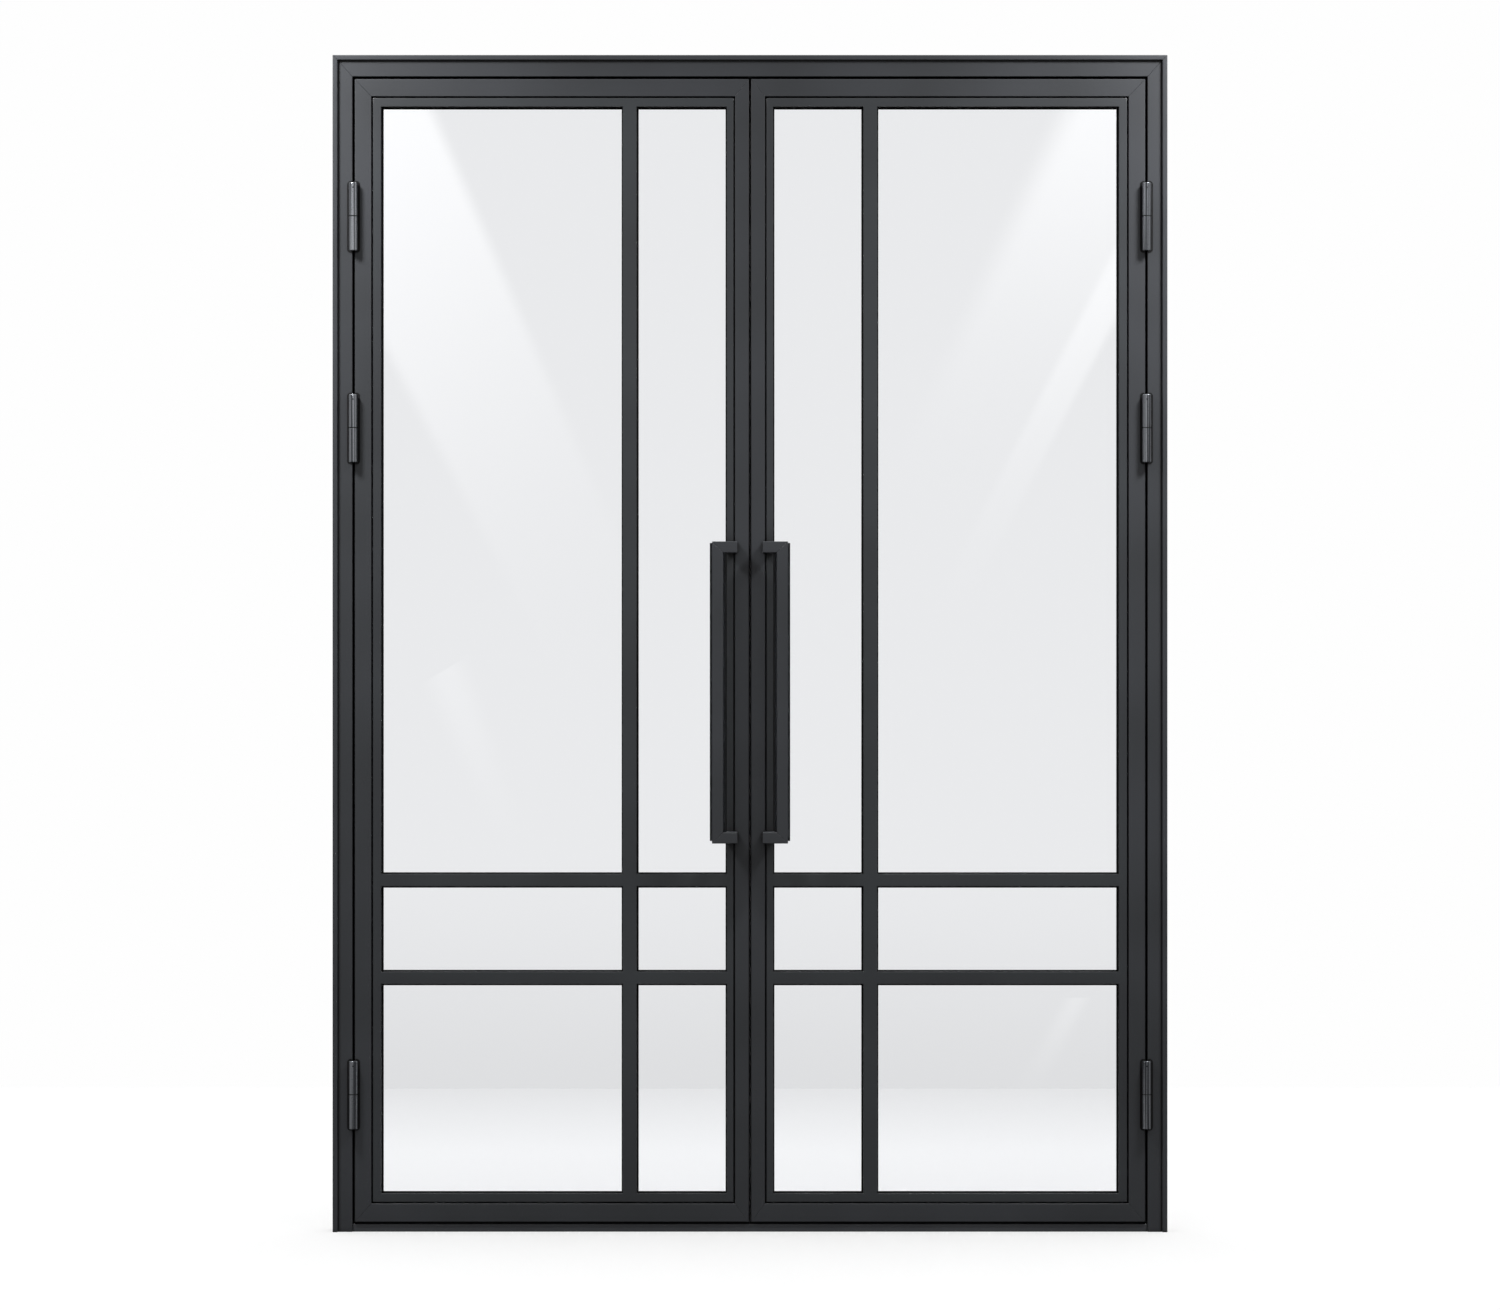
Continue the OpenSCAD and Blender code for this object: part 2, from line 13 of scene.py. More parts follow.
import bmesh
import bpy
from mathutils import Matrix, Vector


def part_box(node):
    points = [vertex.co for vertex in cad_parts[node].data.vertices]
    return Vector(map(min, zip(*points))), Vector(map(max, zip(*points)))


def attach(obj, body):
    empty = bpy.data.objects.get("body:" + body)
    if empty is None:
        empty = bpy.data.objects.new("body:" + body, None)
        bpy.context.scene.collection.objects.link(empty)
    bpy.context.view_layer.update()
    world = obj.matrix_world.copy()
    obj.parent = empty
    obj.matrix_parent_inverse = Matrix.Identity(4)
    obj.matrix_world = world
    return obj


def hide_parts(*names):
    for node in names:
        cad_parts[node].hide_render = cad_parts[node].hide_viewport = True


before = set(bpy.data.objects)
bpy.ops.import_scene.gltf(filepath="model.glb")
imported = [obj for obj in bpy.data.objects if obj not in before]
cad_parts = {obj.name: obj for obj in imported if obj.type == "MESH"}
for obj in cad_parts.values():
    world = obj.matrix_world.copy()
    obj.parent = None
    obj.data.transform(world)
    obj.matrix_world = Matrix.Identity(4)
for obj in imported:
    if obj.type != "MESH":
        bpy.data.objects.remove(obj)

MM = 0.001
SHARP_ANGLE = math.radians(35)
LEVELS = ("bottom", "middle", "top")
NOISE_BAND = (0.3, 0.7)
CREASE_SAMPLES = 6

Point = tuple[float, float, float]
Flat = tuple[float, float]

log = logging.getLogger("doors")


class Side(Enum):
    """Which half of the doorway a piece belongs to."""

    LEFT = "left"
    RIGHT = "right"


class Edge(Enum):
    """One member of a mitred ring, by the corner of the rectangle that it starts from."""

    HINGE = 0
    TOP = 1
    MEETING = 2
    BOTTOM = 3


class Face(Enum):
    """Which face of a leaf a fitting is on, as the way that it points along Y."""

    FRONT = -1
    REAR = 1


class Slot(Enum):
    """The record's material slots."""

    COAT = "powder_coated_steel"
    RUBBER = "gasket_rubber"
    ZINC = "zinc_plated_steel"
    GLASS = "clear_glass"


@dataclass(frozen=True)
class Rect:
    """A rectangle seen from the front, with x0 towards the middle of the doorway."""

    x0: float
    x1: float
    z0: float
    z1: float

    def inset(self, by: float) -> "Rect":
        """The same rectangle with every side moved inwards.

        Args:
            by: How far.

        Returns:
            The smaller rectangle.
        """
        return Rect(self.x0 + by, self.x1 - by, self.z0 + by, self.z1 - by)

    def corners(self) -> list[Flat]:
        """Its corners, in the order in which the four edges run."""
        return [(self.x1, self.z0), (self.x1, self.z1), (self.x0, self.z1), (self.x0, self.z0)]

    def holds(self, x: float, z: float) -> bool:
        """Whether a point lies inside.

        Args:
            x: Its place across.
            z: Its height.

        Returns:
            True when it lies inside.
        """
        return self.x0 < x < self.x1 and self.z0 < z < self.z1


def span(node: str, axis: int) -> Flat:
    """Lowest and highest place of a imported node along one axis.

    Args:
        node: Name of the node.
        axis: 0 for X, 1 for Y and 2 for Z.

    Returns:
        Both places, in metres.
    """
    low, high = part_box(node)
    return low[axis], high[axis]


def arc(centre: Flat, radius: float, first: float, last: float, steps: int = 5) -> list[Flat]:
    """Points on a round stretch of an outline.

    Args:
        centre: Middle of the circle.
        radius: Radius of the circle.
        first: Angle of the first point, in degrees.
        last: Angle of the last point, in degrees.
        steps: Number of chords.

    Returns:
        The points, both ends included.
    """
    turns = [math.radians(first + (last - first) * k / steps) for k in range(steps + 1)]
    return [(centre[0] + radius * math.cos(t), centre[1] + radius * math.sin(t)) for t in turns]


@dataclass(frozen=True)
class Doorway:
    """Edges and planes of the right-hand half of the doorway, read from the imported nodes."""

    steps_x: tuple[float, ...]
    steps_z: tuple[float, ...]
    lip_y: float
    face_y: float
    stop_y: float
    back_y: float
    leaf_back_y: float
    leaf: Rect
    sash: Rect
    sight: Rect
    lights: tuple[Rect, ...]
    bar_x: Flat
    cross_z: tuple[Flat, Flat]

    @classmethod
    def measured(cls, lip_width: float = 9.0 * MM, groove_width: float = 1.8 * MM) -> "Doorway":
        """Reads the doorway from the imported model.

        Args:
            lip_width: Width of the raised lip round the frame.
            groove_width: Width of the groove at the foot of the lip.

        Returns:
            The measured doorway.
        """
        stop_x, outer_x = span("jamb_right", 0)
        stop_z, outer_z = span("head", 2)
        rebate_x = span("threshold", 0)[1]
        rebate_z = stop_z + rebate_x - stop_x
        leaf = Rect(span("right_meeting_stile", 0)[0], span("right_hinge_stile", 0)[1],
                    *span("right_hinge_stile", 2))
        sash = Rect(span("right_meeting_stile", 0)[1], span("right_hinge_stile", 0)[0],
                    span("right_bottom_rail", 2)[1], span("right_top_rail", 2)[0])
        sight = Rect(span("right_bead_meeting_side", 0)[1], span("right_bead_hinge_side", 0)[0],
                     span("right_bead_bottom", 2)[1], span("right_bead_top", 2)[0])
        bar_x = span("right_bar_vertical", 0)
        cross_z = (span("right_bar_lower", 2), span("right_bar_upper", 2))
        columns = [(sight.x0, bar_x[0]), (bar_x[1], sight.x1)]
        rows = [(sight.z0, cross_z[0][0]), (cross_z[0][1], cross_z[1][0]), (cross_z[1][1], sight.z1)]
        return cls(
            steps_x=(outer_x, outer_x - lip_width, outer_x - lip_width - groove_width, rebate_x, stop_x),
            steps_z=(outer_z, outer_z - lip_width, outer_z - lip_width - groove_width, rebate_z, stop_z),
            lip_y=span("jamb_right", 1)[0], face_y=span("right_hinge_stile", 1)[0],
            stop_y=span("frame_seal", 1)[1], back_y=span("jamb_right", 1)[1],
            leaf_back_y=span("right_hinge_stile", 1)[1], leaf=leaf, sash=sash, sight=sight,
            lights=tuple(Rect(*x, *z) for x in columns for z in rows), bar_x=bar_x, cross_z=cross_z)


# ---- Finishes --------------------------------------------------------------------------------------------


def linear(colour: str) -> tuple[float, float, float, float]:
    """The linear value of an sRGB colour.

    Args:
        colour: The colour as #RRGGBB.

    Returns:
        Red, green, blue and an alpha of 1.
    """
    parts = [int(colour[i:i + 2], 16) / 255 for i in (1, 3, 5)]
    red, green, blue = (p / 12.92 if p <= 0.04045 else ((p + 0.055) / 1.055) ** 2.4 for p in parts)
    return red, green, blue, 1.0


def add_node(tree: bpy.types.NodeTree, kind: str, inputs: Mapping[str | int, object] | None = None,
             **settings: object) -> bpy.types.Node:
    """Adds a node with its settings and links.

    Args:
        tree: The tree that takes the node.
        kind: The node's type.
        inputs: A value, or the socket that feeds it, for each named input.
        **settings: Properties of the node itself.

    Returns:
        The new node.
    """
    node = tree.nodes.new(kind)
    for name, value in settings.items():
        setattr(node, name, value)
    for name, value in (inputs or {}).items():
        if isinstance(value, bpy.types.NodeSocket):
            tree.links.new(value, node.inputs[name])
        else:
            node.inputs[name].default_value = value
    return node


def blank_material(name: str) -> bpy.types.Material:
    """A material with an empty node tree.

    Args:
        name: Its name.

    Returns:
        The material.
    """
    material = bpy.data.materials.new(name)
    material.use_nodes = True
    material.node_tree.nodes.clear()
    return material


def noise(tree: bpy.types.NodeTree, size: float, detail: float = 2.0) -> bpy.types.NodeSocket:
    """Noise on the piece's own coordinates.

    Args:
        tree: The material's tree.
        size: Length of one feature, in metres.
        detail: Octaves of finer noise on top.

    Returns:
        The noise, from 0 to 1.
    """
    place = add_node(tree, "ShaderNodeTexCoord").outputs["Object"]
    made = add_node(tree, "ShaderNodeTexNoise", {"Vector": place, "Scale": 1 / size, "Detail": detail})
    return made.outputs[0]


def ranged(tree: bpy.types.NodeTree, value: bpy.types.NodeSocket, source: Flat, target: Flat,
           curve: str = "LINEAR") -> bpy.types.NodeSocket:
    """Carries a value from one range to another, clamped at both ends.

    Args:
        tree: The tree that takes the node.
        value: The socket that gives the value.
        source: The range that it comes in.
        target: The range that it goes out in.
        curve: How it runs between the two ends.

    Returns:
        The socket with the result.
    """
    made = add_node(tree, "ShaderNodeMapRange", {
        "Value": value, "From Min": source[0], "From Max": source[1], "To Min": target[0],
        "To Max": target[1]}, interpolation_type=curve)
    return made.outputs[0]


def blended(tree: bpy.types.NodeTree, share: bpy.types.NodeSocket, first: object,
            second: object) -> bpy.types.NodeSocket:
    """Mixes two colours.

    Args:
        tree: The tree that takes the node.
        share: The share of the second colour, from 0 to 1.
        first: A colour, or the socket that gives it.
        second: Another one.

    Returns:
        The socket with the mixed colour.
    """
    made = add_node(tree, "ShaderNodeMix", {0: share, 6: first, 7: second}, data_type="RGBA")
    return made.outputs[2]


@dataclass(frozen=True)
class PowderCoat:
    """Polyester powder coat, sprayed dry and baked on: an anthracite satin with soft, wide highlights."""

    name: str = "powder_coated_steel"
    colour: str = "#292B2E"
    cloud_colour: str = "#303236"
    cloud_size: float = 260 * MM
    cloud_band: Flat = (0.35, 0.65)
    peel_size: float = 7 * MM
    grain_size: float = 1.6 * MM
    roughness: Flat = (0.40, 0.50)
    peel_depth: float = 0.035 * MM
    grain_depth: float = 0.012 * MM
    # Reach, range and colour of the painted shade that darkens the coat in creases.
    painted_shade_reach: float = 8 * MM
    painted_shade_range: Flat = (0.4, 0.92)
    painted_shade_colour: str = "#050505"
    ior: float = 1.5

    def material(self) -> bpy.types.Material:
        """Builds the material.

        Orange peel 7 mm across breaks up the reflections. The real grain is some 0.3 mm, too fine to show
        from across a room, so it is drawn at 1.6 mm. The colour is darkened in creases and beside nearby
        steel, as painted shade, and this draws the joints.

        Returns:
            The material.
        """
        made = blank_material(self.name)
        tree = made.node_tree
        clouds = ranged(tree, noise(tree, self.cloud_size), self.cloud_band, (0.0, 1.0))
        grain = noise(tree, self.grain_size)
        peel = add_node(tree, "ShaderNodeBump", {
            "Height": noise(tree, self.peel_size, 1.0), "Distance": self.peel_depth, "Strength": 1.0})
        grained = add_node(tree, "ShaderNodeBump", {
            "Height": grain, "Distance": self.grain_depth, "Strength": 1.0, "Normal": peel.outputs[0]})
        # Ambient occlusion darkens the base colour in creases and beside nearby steel: painted shade.
        ao_shade = add_node(tree, "ShaderNodeAmbientOcclusion", {"Distance": self.painted_shade_reach},
                            samples=CREASE_SAMPLES)
        bare = blended(tree, clouds, linear(self.colour), linear(self.cloud_colour))
        share = ranged(tree, ao_shade.outputs["AO"], self.painted_shade_range, (0.0, 1.0))
        coat = add_node(tree, "ShaderNodeBsdfPrincipled", {
            "Base Color": blended(tree, share, linear(self.painted_shade_colour), bare),
            "Roughness": ranged(tree, grain, NOISE_BAND, self.roughness),
            "IOR": self.ior, "Normal": grained.outputs[0]})
        add_node(tree, "ShaderNodeOutputMaterial", {"Surface": coat.outputs[0]})
        return made


@dataclass(frozen=True)
class BarrelCoat:
    """Metallic powder coat on drawn steel: grey flakes, streaked along the barrel by drawing lines and
    painted highlights.
    """

    dark: str = "#45474B"
    bright: str = "#9A9DA2"
    streak_width: float = 3.5 * MM
    streak_length: float = 400 * MM
    streak_band: Flat = (0.4, 0.6)
    flake_size: float = 1.2 * MM
    roughness: Flat = (0.26, 0.36)
    metallic: float = 0.85
    shade_reach: float = 16 * MM
    shade_range: Flat = (0.72, 0.97)
    shade_colour: str = "#060607"

    def material(self) -> bpy.types.Material:
        """Builds the material.

        The streaks are the drawing lines of the steel, drawn coarser than they are so that they show, and
        their bright bands are also painted highlights. The colour is darkened at the sides of a barrel, next
        to the steel behind it, as painted shade.

        Returns:
            The material.
        """
        made = blank_material("metallic_powder_coat")
        tree = made.node_tree
        place = add_node(tree, "ShaderNodeTexCoord").outputs["Object"]
        drawn = add_node(tree, "ShaderNodeVectorMath", {
            0: place, 1: (1 / self.streak_width, 1 / self.streak_width, 1 / self.streak_length)},
            operation="MULTIPLY").outputs[0]
        streaks = add_node(tree, "ShaderNodeTexNoise", {
            "Vector": drawn, "Scale": 1.0, "Detail": 1.0}).outputs[0]
        # The bright streaks are partly drawing lines and partly painted highlights.
        steel = blended(tree, ranged(tree, streaks, self.streak_band, (0.0, 1.0)), linear(self.dark),
                        linear(self.bright))
        # Darkening the colour at the barrel's sides, next to the steel behind, is painted shade.
        ao_shade = add_node(tree, "ShaderNodeAmbientOcclusion", {"Distance": self.shade_reach},
                            samples=CREASE_SAMPLES)
        share = ranged(tree, ao_shade.outputs["AO"], self.shade_range, (0.0, 1.0))
        coat = add_node(tree, "ShaderNodeBsdfPrincipled", {
            "Base Color": blended(tree, share, linear(self.shade_colour), steel), "Metallic": self.metallic,
            "Roughness": ranged(tree, noise(tree, self.flake_size), NOISE_BAND, self.roughness)})
        add_node(tree, "ShaderNodeOutputMaterial", {"Surface": coat.outputs[0]})
        return made


@dataclass(frozen=True)
class ExtrudedRubber:
    """EPDM rubber, extruded: near black and dull, a little paler where talc is left from the die."""

    colour: str = "#070708"
    talc_colour: str = "#0E0E0F"
    talc_size: float = 45 * MM
    talc_band: Flat = (0.45, 0.7)
    grain_size: float = 1.2 * MM
    roughness: Flat = (0.75, 0.9)
    grain_depth: float = 0.03 * MM
    ior: float = 1.3

    def material(self) -> bpy.types.Material:
        """Builds the material. Its fine moulded grain keeps the highlights dull.

        Returns:
            The material.
        """
        made = blank_material("extruded_epdm_rubber")
        tree = made.node_tree
        talc = ranged(tree, noise(tree, self.talc_size, 3.0), self.talc_band, (0.0, 1.0))
        grain = noise(tree, self.grain_size)
        bump = add_node(tree, "ShaderNodeBump", {
            "Height": grain, "Distance": self.grain_depth, "Strength": 1.0})
        rubber = add_node(tree, "ShaderNodeBsdfPrincipled", {
            "Base Color": blended(tree, talc, linear(self.colour), linear(self.talc_colour)),
            "Roughness": ranged(tree, grain, NOISE_BAND, self.roughness),
            "IOR": self.ior, "Normal": bump.outputs[0]})
        add_node(tree, "ShaderNodeOutputMaterial", {"Surface": rubber.outputs[0]})
        return made


@dataclass(frozen=True)
class ZincPlate:
    """Electroplated zinc with a clear passivation: bright grey with faint blue and straw patches."""

    name: str = "zinc_plated_steel"
    colour: str = "#A9AFB6"
    patch_colour: str = "#B8B4A6"
    patch_size: float = 9 * MM
    patch_band: Flat = (0.4, 0.65)
    roughness: Flat = (0.26, 0.40)
    grain_size: float = 0.9 * MM

    def material(self) -> bpy.types.Material:
        """Builds the material. The patches keep small screws from looking like chrome.

        Returns:
            The material.
        """
        made = blank_material(self.name)
        tree = made.node_tree
        patches = ranged(tree, noise(tree, self.patch_size, 3.0), self.patch_band, (0.0, 1.0))
        grain = noise(tree, self.grain_size)
        zinc = add_node(tree, "ShaderNodeBsdfPrincipled", {
            "Base Color": blended(tree, patches, linear(self.colour), linear(self.patch_colour)),
            "Metallic": 1.0, "Roughness": ranged(tree, grain, NOISE_BAND, self.roughness)})
        add_node(tree, "ShaderNodeOutputMaterial", {"Surface": zinc.outputs[0]})
        return made


@dataclass(frozen=True)
class FloatGlass:
    """Clear toughened float glass, polished by its own melt: a mirror-smooth pane with a faint cool tint."""

    tint: str = "#F3F4F6"
    shade: str = "#9A9B9C"
    ior: float = 1.52

    def material(self) -> bpy.types.Material:
        """Builds the material. The soft boxes shine through it weakly, since they strike it at a slant.

        Returns:
            The material.
        """
        made = blank_material("clear_float_glass")
        tree = made.node_tree
        glass = add_node(tree, "ShaderNodeBsdfPrincipled", {
            "Base Color": linear(self.tint), "Roughness": 0.0, "IOR": self.ior, "Transmission Weight": 1.0})
        clear = add_node(tree, "ShaderNodeBsdfTransparent", {"Color": linear(self.shade)})
        lamp = add_node(tree, "ShaderNodeLightPath").outputs["Is Shadow Ray"]
        pane = add_node(tree, "ShaderNodeMixShader", {0: lamp, 1: glass.outputs[0], 2: clear.outputs[0]})
        add_node(tree, "ShaderNodeOutputMaterial", {"Surface": pane.outputs[0]})
        return made


@dataclass(frozen=True)
class Finishes:
    """One material for each finish on the doors.

    The lattice's coat is a shade darker, and darker still where it lies behind the pulls, as painted shade.
    The threshold's is paler, as painted light, with painted shade in the gap above it.
    """

    coat: bpy.types.Material = field(default_factory=lambda: PowderCoat().material())
    # The lattice's occlusion reaches 60 mm, so its colour is darkened behind the pulls: painted shade of the
    # pulls.
    lattice_coat: bpy.types.Material = field(default_factory=lambda: PowderCoat(
        "lattice_powder_coat", "#27292C", "#2D3033",
        painted_shade_reach=60 * MM, painted_shade_range=(0.3, 1.0)).material())
    # The threshold's coat is paler, as painted light on its front, and its occlusion darkening blacks out the
    # gap above it, as painted shade.
    painted_light_threshold_coat: bpy.types.Material = field(default_factory=lambda: PowderCoat(
        "scuffed_powder_coat", "#3A3C40", "#434549",
        painted_shade_reach=9 * MM, painted_shade_range=(0.35, 0.70)).material())
    barrel: bpy.types.Material = field(default_factory=lambda: BarrelCoat().material())
    rubber: bpy.types.Material = field(default_factory=lambda: ExtrudedRubber().material())
    zinc: bpy.types.Material = field(default_factory=lambda: ZincPlate().material())
    blackened: bpy.types.Material = field(default_factory=lambda: ZincPlate(
        "blackened_steel", "#2B2C2E", "#343230", roughness=(0.38, 0.5)).material())
    glass: bpy.types.Material = field(default_factory=lambda: FloatGlass().material())


# ---- Mesh work -------------------------------------------------------------------------------------------


def linked(name: str, mesh: bpy.types.Mesh) -> bpy.types.Object:
    """Puts a mesh in the scene as a new object.

    Args:
        name: Name of the object.
        mesh: The mesh.

    Returns:
        The object.
    """
    made = bpy.data.objects.new(name, mesh)
    bpy.context.scene.collection.objects.link(made)
    return made


def baked(piece: bpy.types.Object) -> bpy.types.Mesh:
    """Works out the mesh that an object's modifiers give.

    Args:
        piece: The object.

    Returns:
        A new mesh.
    """
    graph = bpy.context.evaluated_depsgraph_get()
    return bpy.data.meshes.new_from_object(
        piece.evaluated_get(graph), preserve_all_data_layers=True, depsgraph=graph)


class Shell:
    """Closed solids that become one piece. They are drawn for the right-hand side of the doorway."""

    WIDEST_EASE = 2.0 * MM
    EASE_SEGMENTS = 3

    def __init__(self, name: str) -> None:
        """Starts an empty piece.

        Args:
            name: The piece's name.
        """
        self.name = name
        self.mesh = bmesh.new()
        self.ease = self.mesh.edges.layers.float.new("bevel_weight_edge")

    def round_off(self, a: bmesh.types.BMVert, b: bmesh.types.BMVert, radius: float) -> None:
        """Marks the edge between two corners to be rounded.

        Args:
            a: One corner.
            b: The other corner.
            radius: Its radius.
        """
        self.mesh.edges.get((a, b))[self.ease] = radius / self.WIDEST_EASE

    def bar(self, start: Sequence[Point], end: Sequence[Point], radii: Sequence[float],
            end_radius: float = 0.5 * MM) -> None:
        """Adds a bar between two end faces.

        Args:
            start: Corners of the first end face.
            end: Corners of the other end face, in step with the first.
            radii: Radius on the long edge at each corner.
            end_radius: Radius round both end faces, which draws the joint with the next bar.
        """
        a = [self.mesh.verts.new(p) for p in start]
        b = [self.mesh.verts.new(p) for p in end]
        self.mesh.faces.new(a)
        self.mesh.faces.new(b[::-1])
        for i in range(len(a)):
            j = (i + 1) % len(a)
            self.mesh.faces.new((a[i], b[i], b[j], a[j]))
        for i in range(len(a)):
            j = (i + 1) % len(a)
            self.round_off(a[i], b[i], radii[i])
            self.round_off(a[i], a[j], end_radius)
            self.round_off(b[i], b[j], end_radius)

    def block(self, low: Point, high: Point, radius: float) -> None:
        """Adds a rectangular block with every edge rounded.

        Args:
            low: Its lowest corner.
            high: Its highest corner.
            radius: Radius of its edges.
        """
        ends = [[(x, y, z) for y, z in ((low[1], low[2]), (high[1], low[2]), (high[1], high[2]),
                                        (low[1], high[2]))] for x in (low[0], high[0])]
        self.bar(*ends, [radius] * 4, radius)

    def mitred(self, edge: Edge, outer: Rect, inner: Rect, y: Flat, radii: Sequence[float]) -> None:
        """Adds one member of the ring between two rectangles, mitred at both ends.

        Args:
            edge: Which member.
            outer: The ring's outside.
            inner: The ring's inside.
            y: Front and back of the member.
            radii: Radius on its long edges: outer front, inner front, inner back, outer back.
        """
        ends = []
        for corner in (edge.value, (edge.value + 1) % 4):
            (ox, oz), (ix, iz) = outer.corners()[corner], inner.corners()[corner]
            ends.append([(ox, y[0], oz), (ix, y[0], iz), (ix, y[1], iz), (ox, y[1], oz)])
        self.bar(*ends, radii)

    def ring(self, rect: Rect, section: Sequence[Flat]) -> None:
        """Sweeps a closed section round a rectangle.

        Args:
            rect: The rectangle.
            section: Points as distance in from the rectangle, and place along Y.
        """
        loops = [[self.mesh.verts.new((x, y, z)) for x, z in rect.inset(inset).corners()]
                 for inset, y in section]
        for k, loop in enumerate(loops):
            after = loops[(k + 1) % len(loops)]
            for i in range(4):
                j = (i + 1) % 4
                self.mesh.faces.new((loop[i], loop[j], after[j], after[i]))

    def turned(self, profile: Sequence[Flat], centre: Point, along: Point = (0, 0, 1),
               steps: int = 40) -> None:
        """Turns a profile round an axis.

        Args:
            profile: Points as radius and height. The first and the last lie on the axis.
            centre: The point on the axis at height 0.
            along: The way that the axis points.
            steps: Number of sides.
        """
        turn = Vector((0, 0, 1)).rotation_difference(Vector(along))
        loops = []
        for radius, height in profile:
            angles = [2 * math.pi * k / steps for k in range(steps if radius else 1)]
            points = [Vector((radius * math.cos(t), radius * math.sin(t), height)) for t in angles]
            loops.append([self.mesh.verts.new(Vector(centre) + turn @ p) for p in points])
        for low, high in zip(loops, loops[1:]):
            for k in range(steps):
                corners = [low[k % len(low)], low[(k + 1) % len(low)],
                           high[(k + 1) % len(high)], high[k % len(high)]]
                self.mesh.faces.new(list(dict.fromkeys(corners)))

    def lattice(self, outer: Rect, lights: Sequence[Rect], y: Flat, radii: Flat) -> None:
        """Adds a flat lattice in one piece.

        Args:
            outer: Its outside.
            lights: The openings through it.
            y: The eased face and the plain face.
            radii: Radius on the eased face's outer edges, and round its openings.
        """
        xs = sorted({outer.x0, outer.x1, *(v for r in lights for v in (r.x0, r.x1))})
        zs = sorted({outer.z0, outer.z1, *(v for r in lights for v in (r.z0, r.z1))})
        vertices: dict[tuple[int, int, int], bmesh.types.BMVert] = {}

        def solid(i: int, j: int) -> bool:
            """Whether a cell is steel.

            Args:
                i: Its column.
                j: Its row.

            Returns:
                True when it is steel.
            """
            if not (0 <= i < len(xs) - 1 and 0 <= j < len(zs) - 1):
                return False
            x, z = (xs[i] + xs[i + 1]) / 2, (zs[j] + zs[j + 1]) / 2
            return not any(r.holds(x, z) for r in lights)

        def corner(i: int, j: int, k: int) -> bmesh.types.BMVert:
            """Finds or makes a vertex.

            Args:
                i: Its column line.
                j: Its row line.
                k: Its face.

            Returns:
                The vertex.
            """
            if (i, j, k) not in vertices:
                vertices[i, j, k] = self.mesh.verts.new((xs[i], y[k], zs[j]))
            return vertices[i, j, k]

        cells = [(i, j) for i in range(len(xs) - 1) for j in range(len(zs) - 1) if solid(i, j)]
        walls = []
        for i, j in cells:
            around = [(i, j), (i + 1, j), (i + 1, j + 1), (i, j + 1)]
            for k in (0, 1):
                self.mesh.faces.new([corner(*c, k) for c in around])
            for n, (a, b) in enumerate(((i, j - 1), (i + 1, j), (i, j + 1), (i - 1, j))):
                if not solid(a, b):
                    outside = not (0 <= a < len(xs) - 1 and 0 <= b < len(zs) - 1)
                    walls.append((around[n], around[(n + 1) % 4], radii[0] if outside else radii[1]))
        for a, b, radius in walls:
            self.mesh.faces.new((corner(*a, 0), corner(*b, 0), corner(*b, 1), corner(*a, 1)))
            self.round_off(corner(*a, 0), corner(*b, 0), radius)

    def take_in(self, mesh: bpy.types.Mesh) -> None:
        """Adds a finished mesh, and discards it.

        Args:
            mesh: The mesh.
        """
        self.mesh.from_mesh(mesh)
        bpy.data.meshes.remove(mesh)

    def object(self, side: Side = Side.RIGHT) -> bpy.types.Object:
        """The solids as they were drawn, in one object.

        Args:
            side: The side of the doorway that they go to.

        Returns:
            The object, in the scene.
        """
        if side is Side.LEFT:
            for vertex in self.mesh.verts:
                vertex.co.x = -vertex.co.x
        bmesh.ops.recalc_face_normals(self.mesh, faces=self.mesh.faces)
        mesh = bpy.data.meshes.new(self.name)
        self.mesh.to_mesh(mesh)
        self.mesh.free()
        return linked(self.name, mesh)

    def finished(self, material: bpy.types.Material, side: Side = Side.RIGHT,
                 cuts: "Shell | None" = None) -> bpy.types.Object:
        """Rounds, cuts, shades and coats the piece.

        Args:
            material: Its finish.
            side: Its half of the doorway.
            cuts: Solids that are taken out of it.

        Returns:
            The finished object, with no modifier left on it.
        """
        piece = self.object(side)
        bevel = piece.modifiers.new("ease", "BEVEL")
        bevel.limit_method, bevel.width = "WEIGHT", self.WIDEST_EASE
        bevel.segments, bevel.use_clamp_overlap = self.EASE_SEGMENTS, False
        tool = cuts.object(side) if cuts else None
        if tool:
            cut = piece.modifiers.new("cut", "BOOLEAN")
            cut.object, cut.solver = tool, "EXACT"
        piece.data = baked(piece)
        piece.modifiers.clear()
        if tool:
            bpy.data.objects.remove(tool)
        piece.data.shade_smooth()
        piece.data.set_sharp_from_angle(angle=SHARP_ANGLE)
        weigh = piece.modifiers.new("weigh", "WEIGHTED_NORMAL")
        weigh.keep_sharp = True
        piece.data = baked(piece)
        piece.modifiers.clear()
        piece.data.name = self.name
        piece.data.materials.clear()
        piece.data.materials.append(material)
        return piece


def placed(piece: bpy.types.Object, body: str, slot: Slot, *nodes: str) -> bpy.types.Object:
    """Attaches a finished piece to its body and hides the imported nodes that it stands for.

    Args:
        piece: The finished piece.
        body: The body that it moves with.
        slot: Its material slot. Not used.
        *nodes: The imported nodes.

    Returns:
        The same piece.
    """
    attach(piece, body)
    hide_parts(*nodes)
    log.info("%s: %d faces, on %s", piece.name, len(piece.data.polygons), body)
    return piece


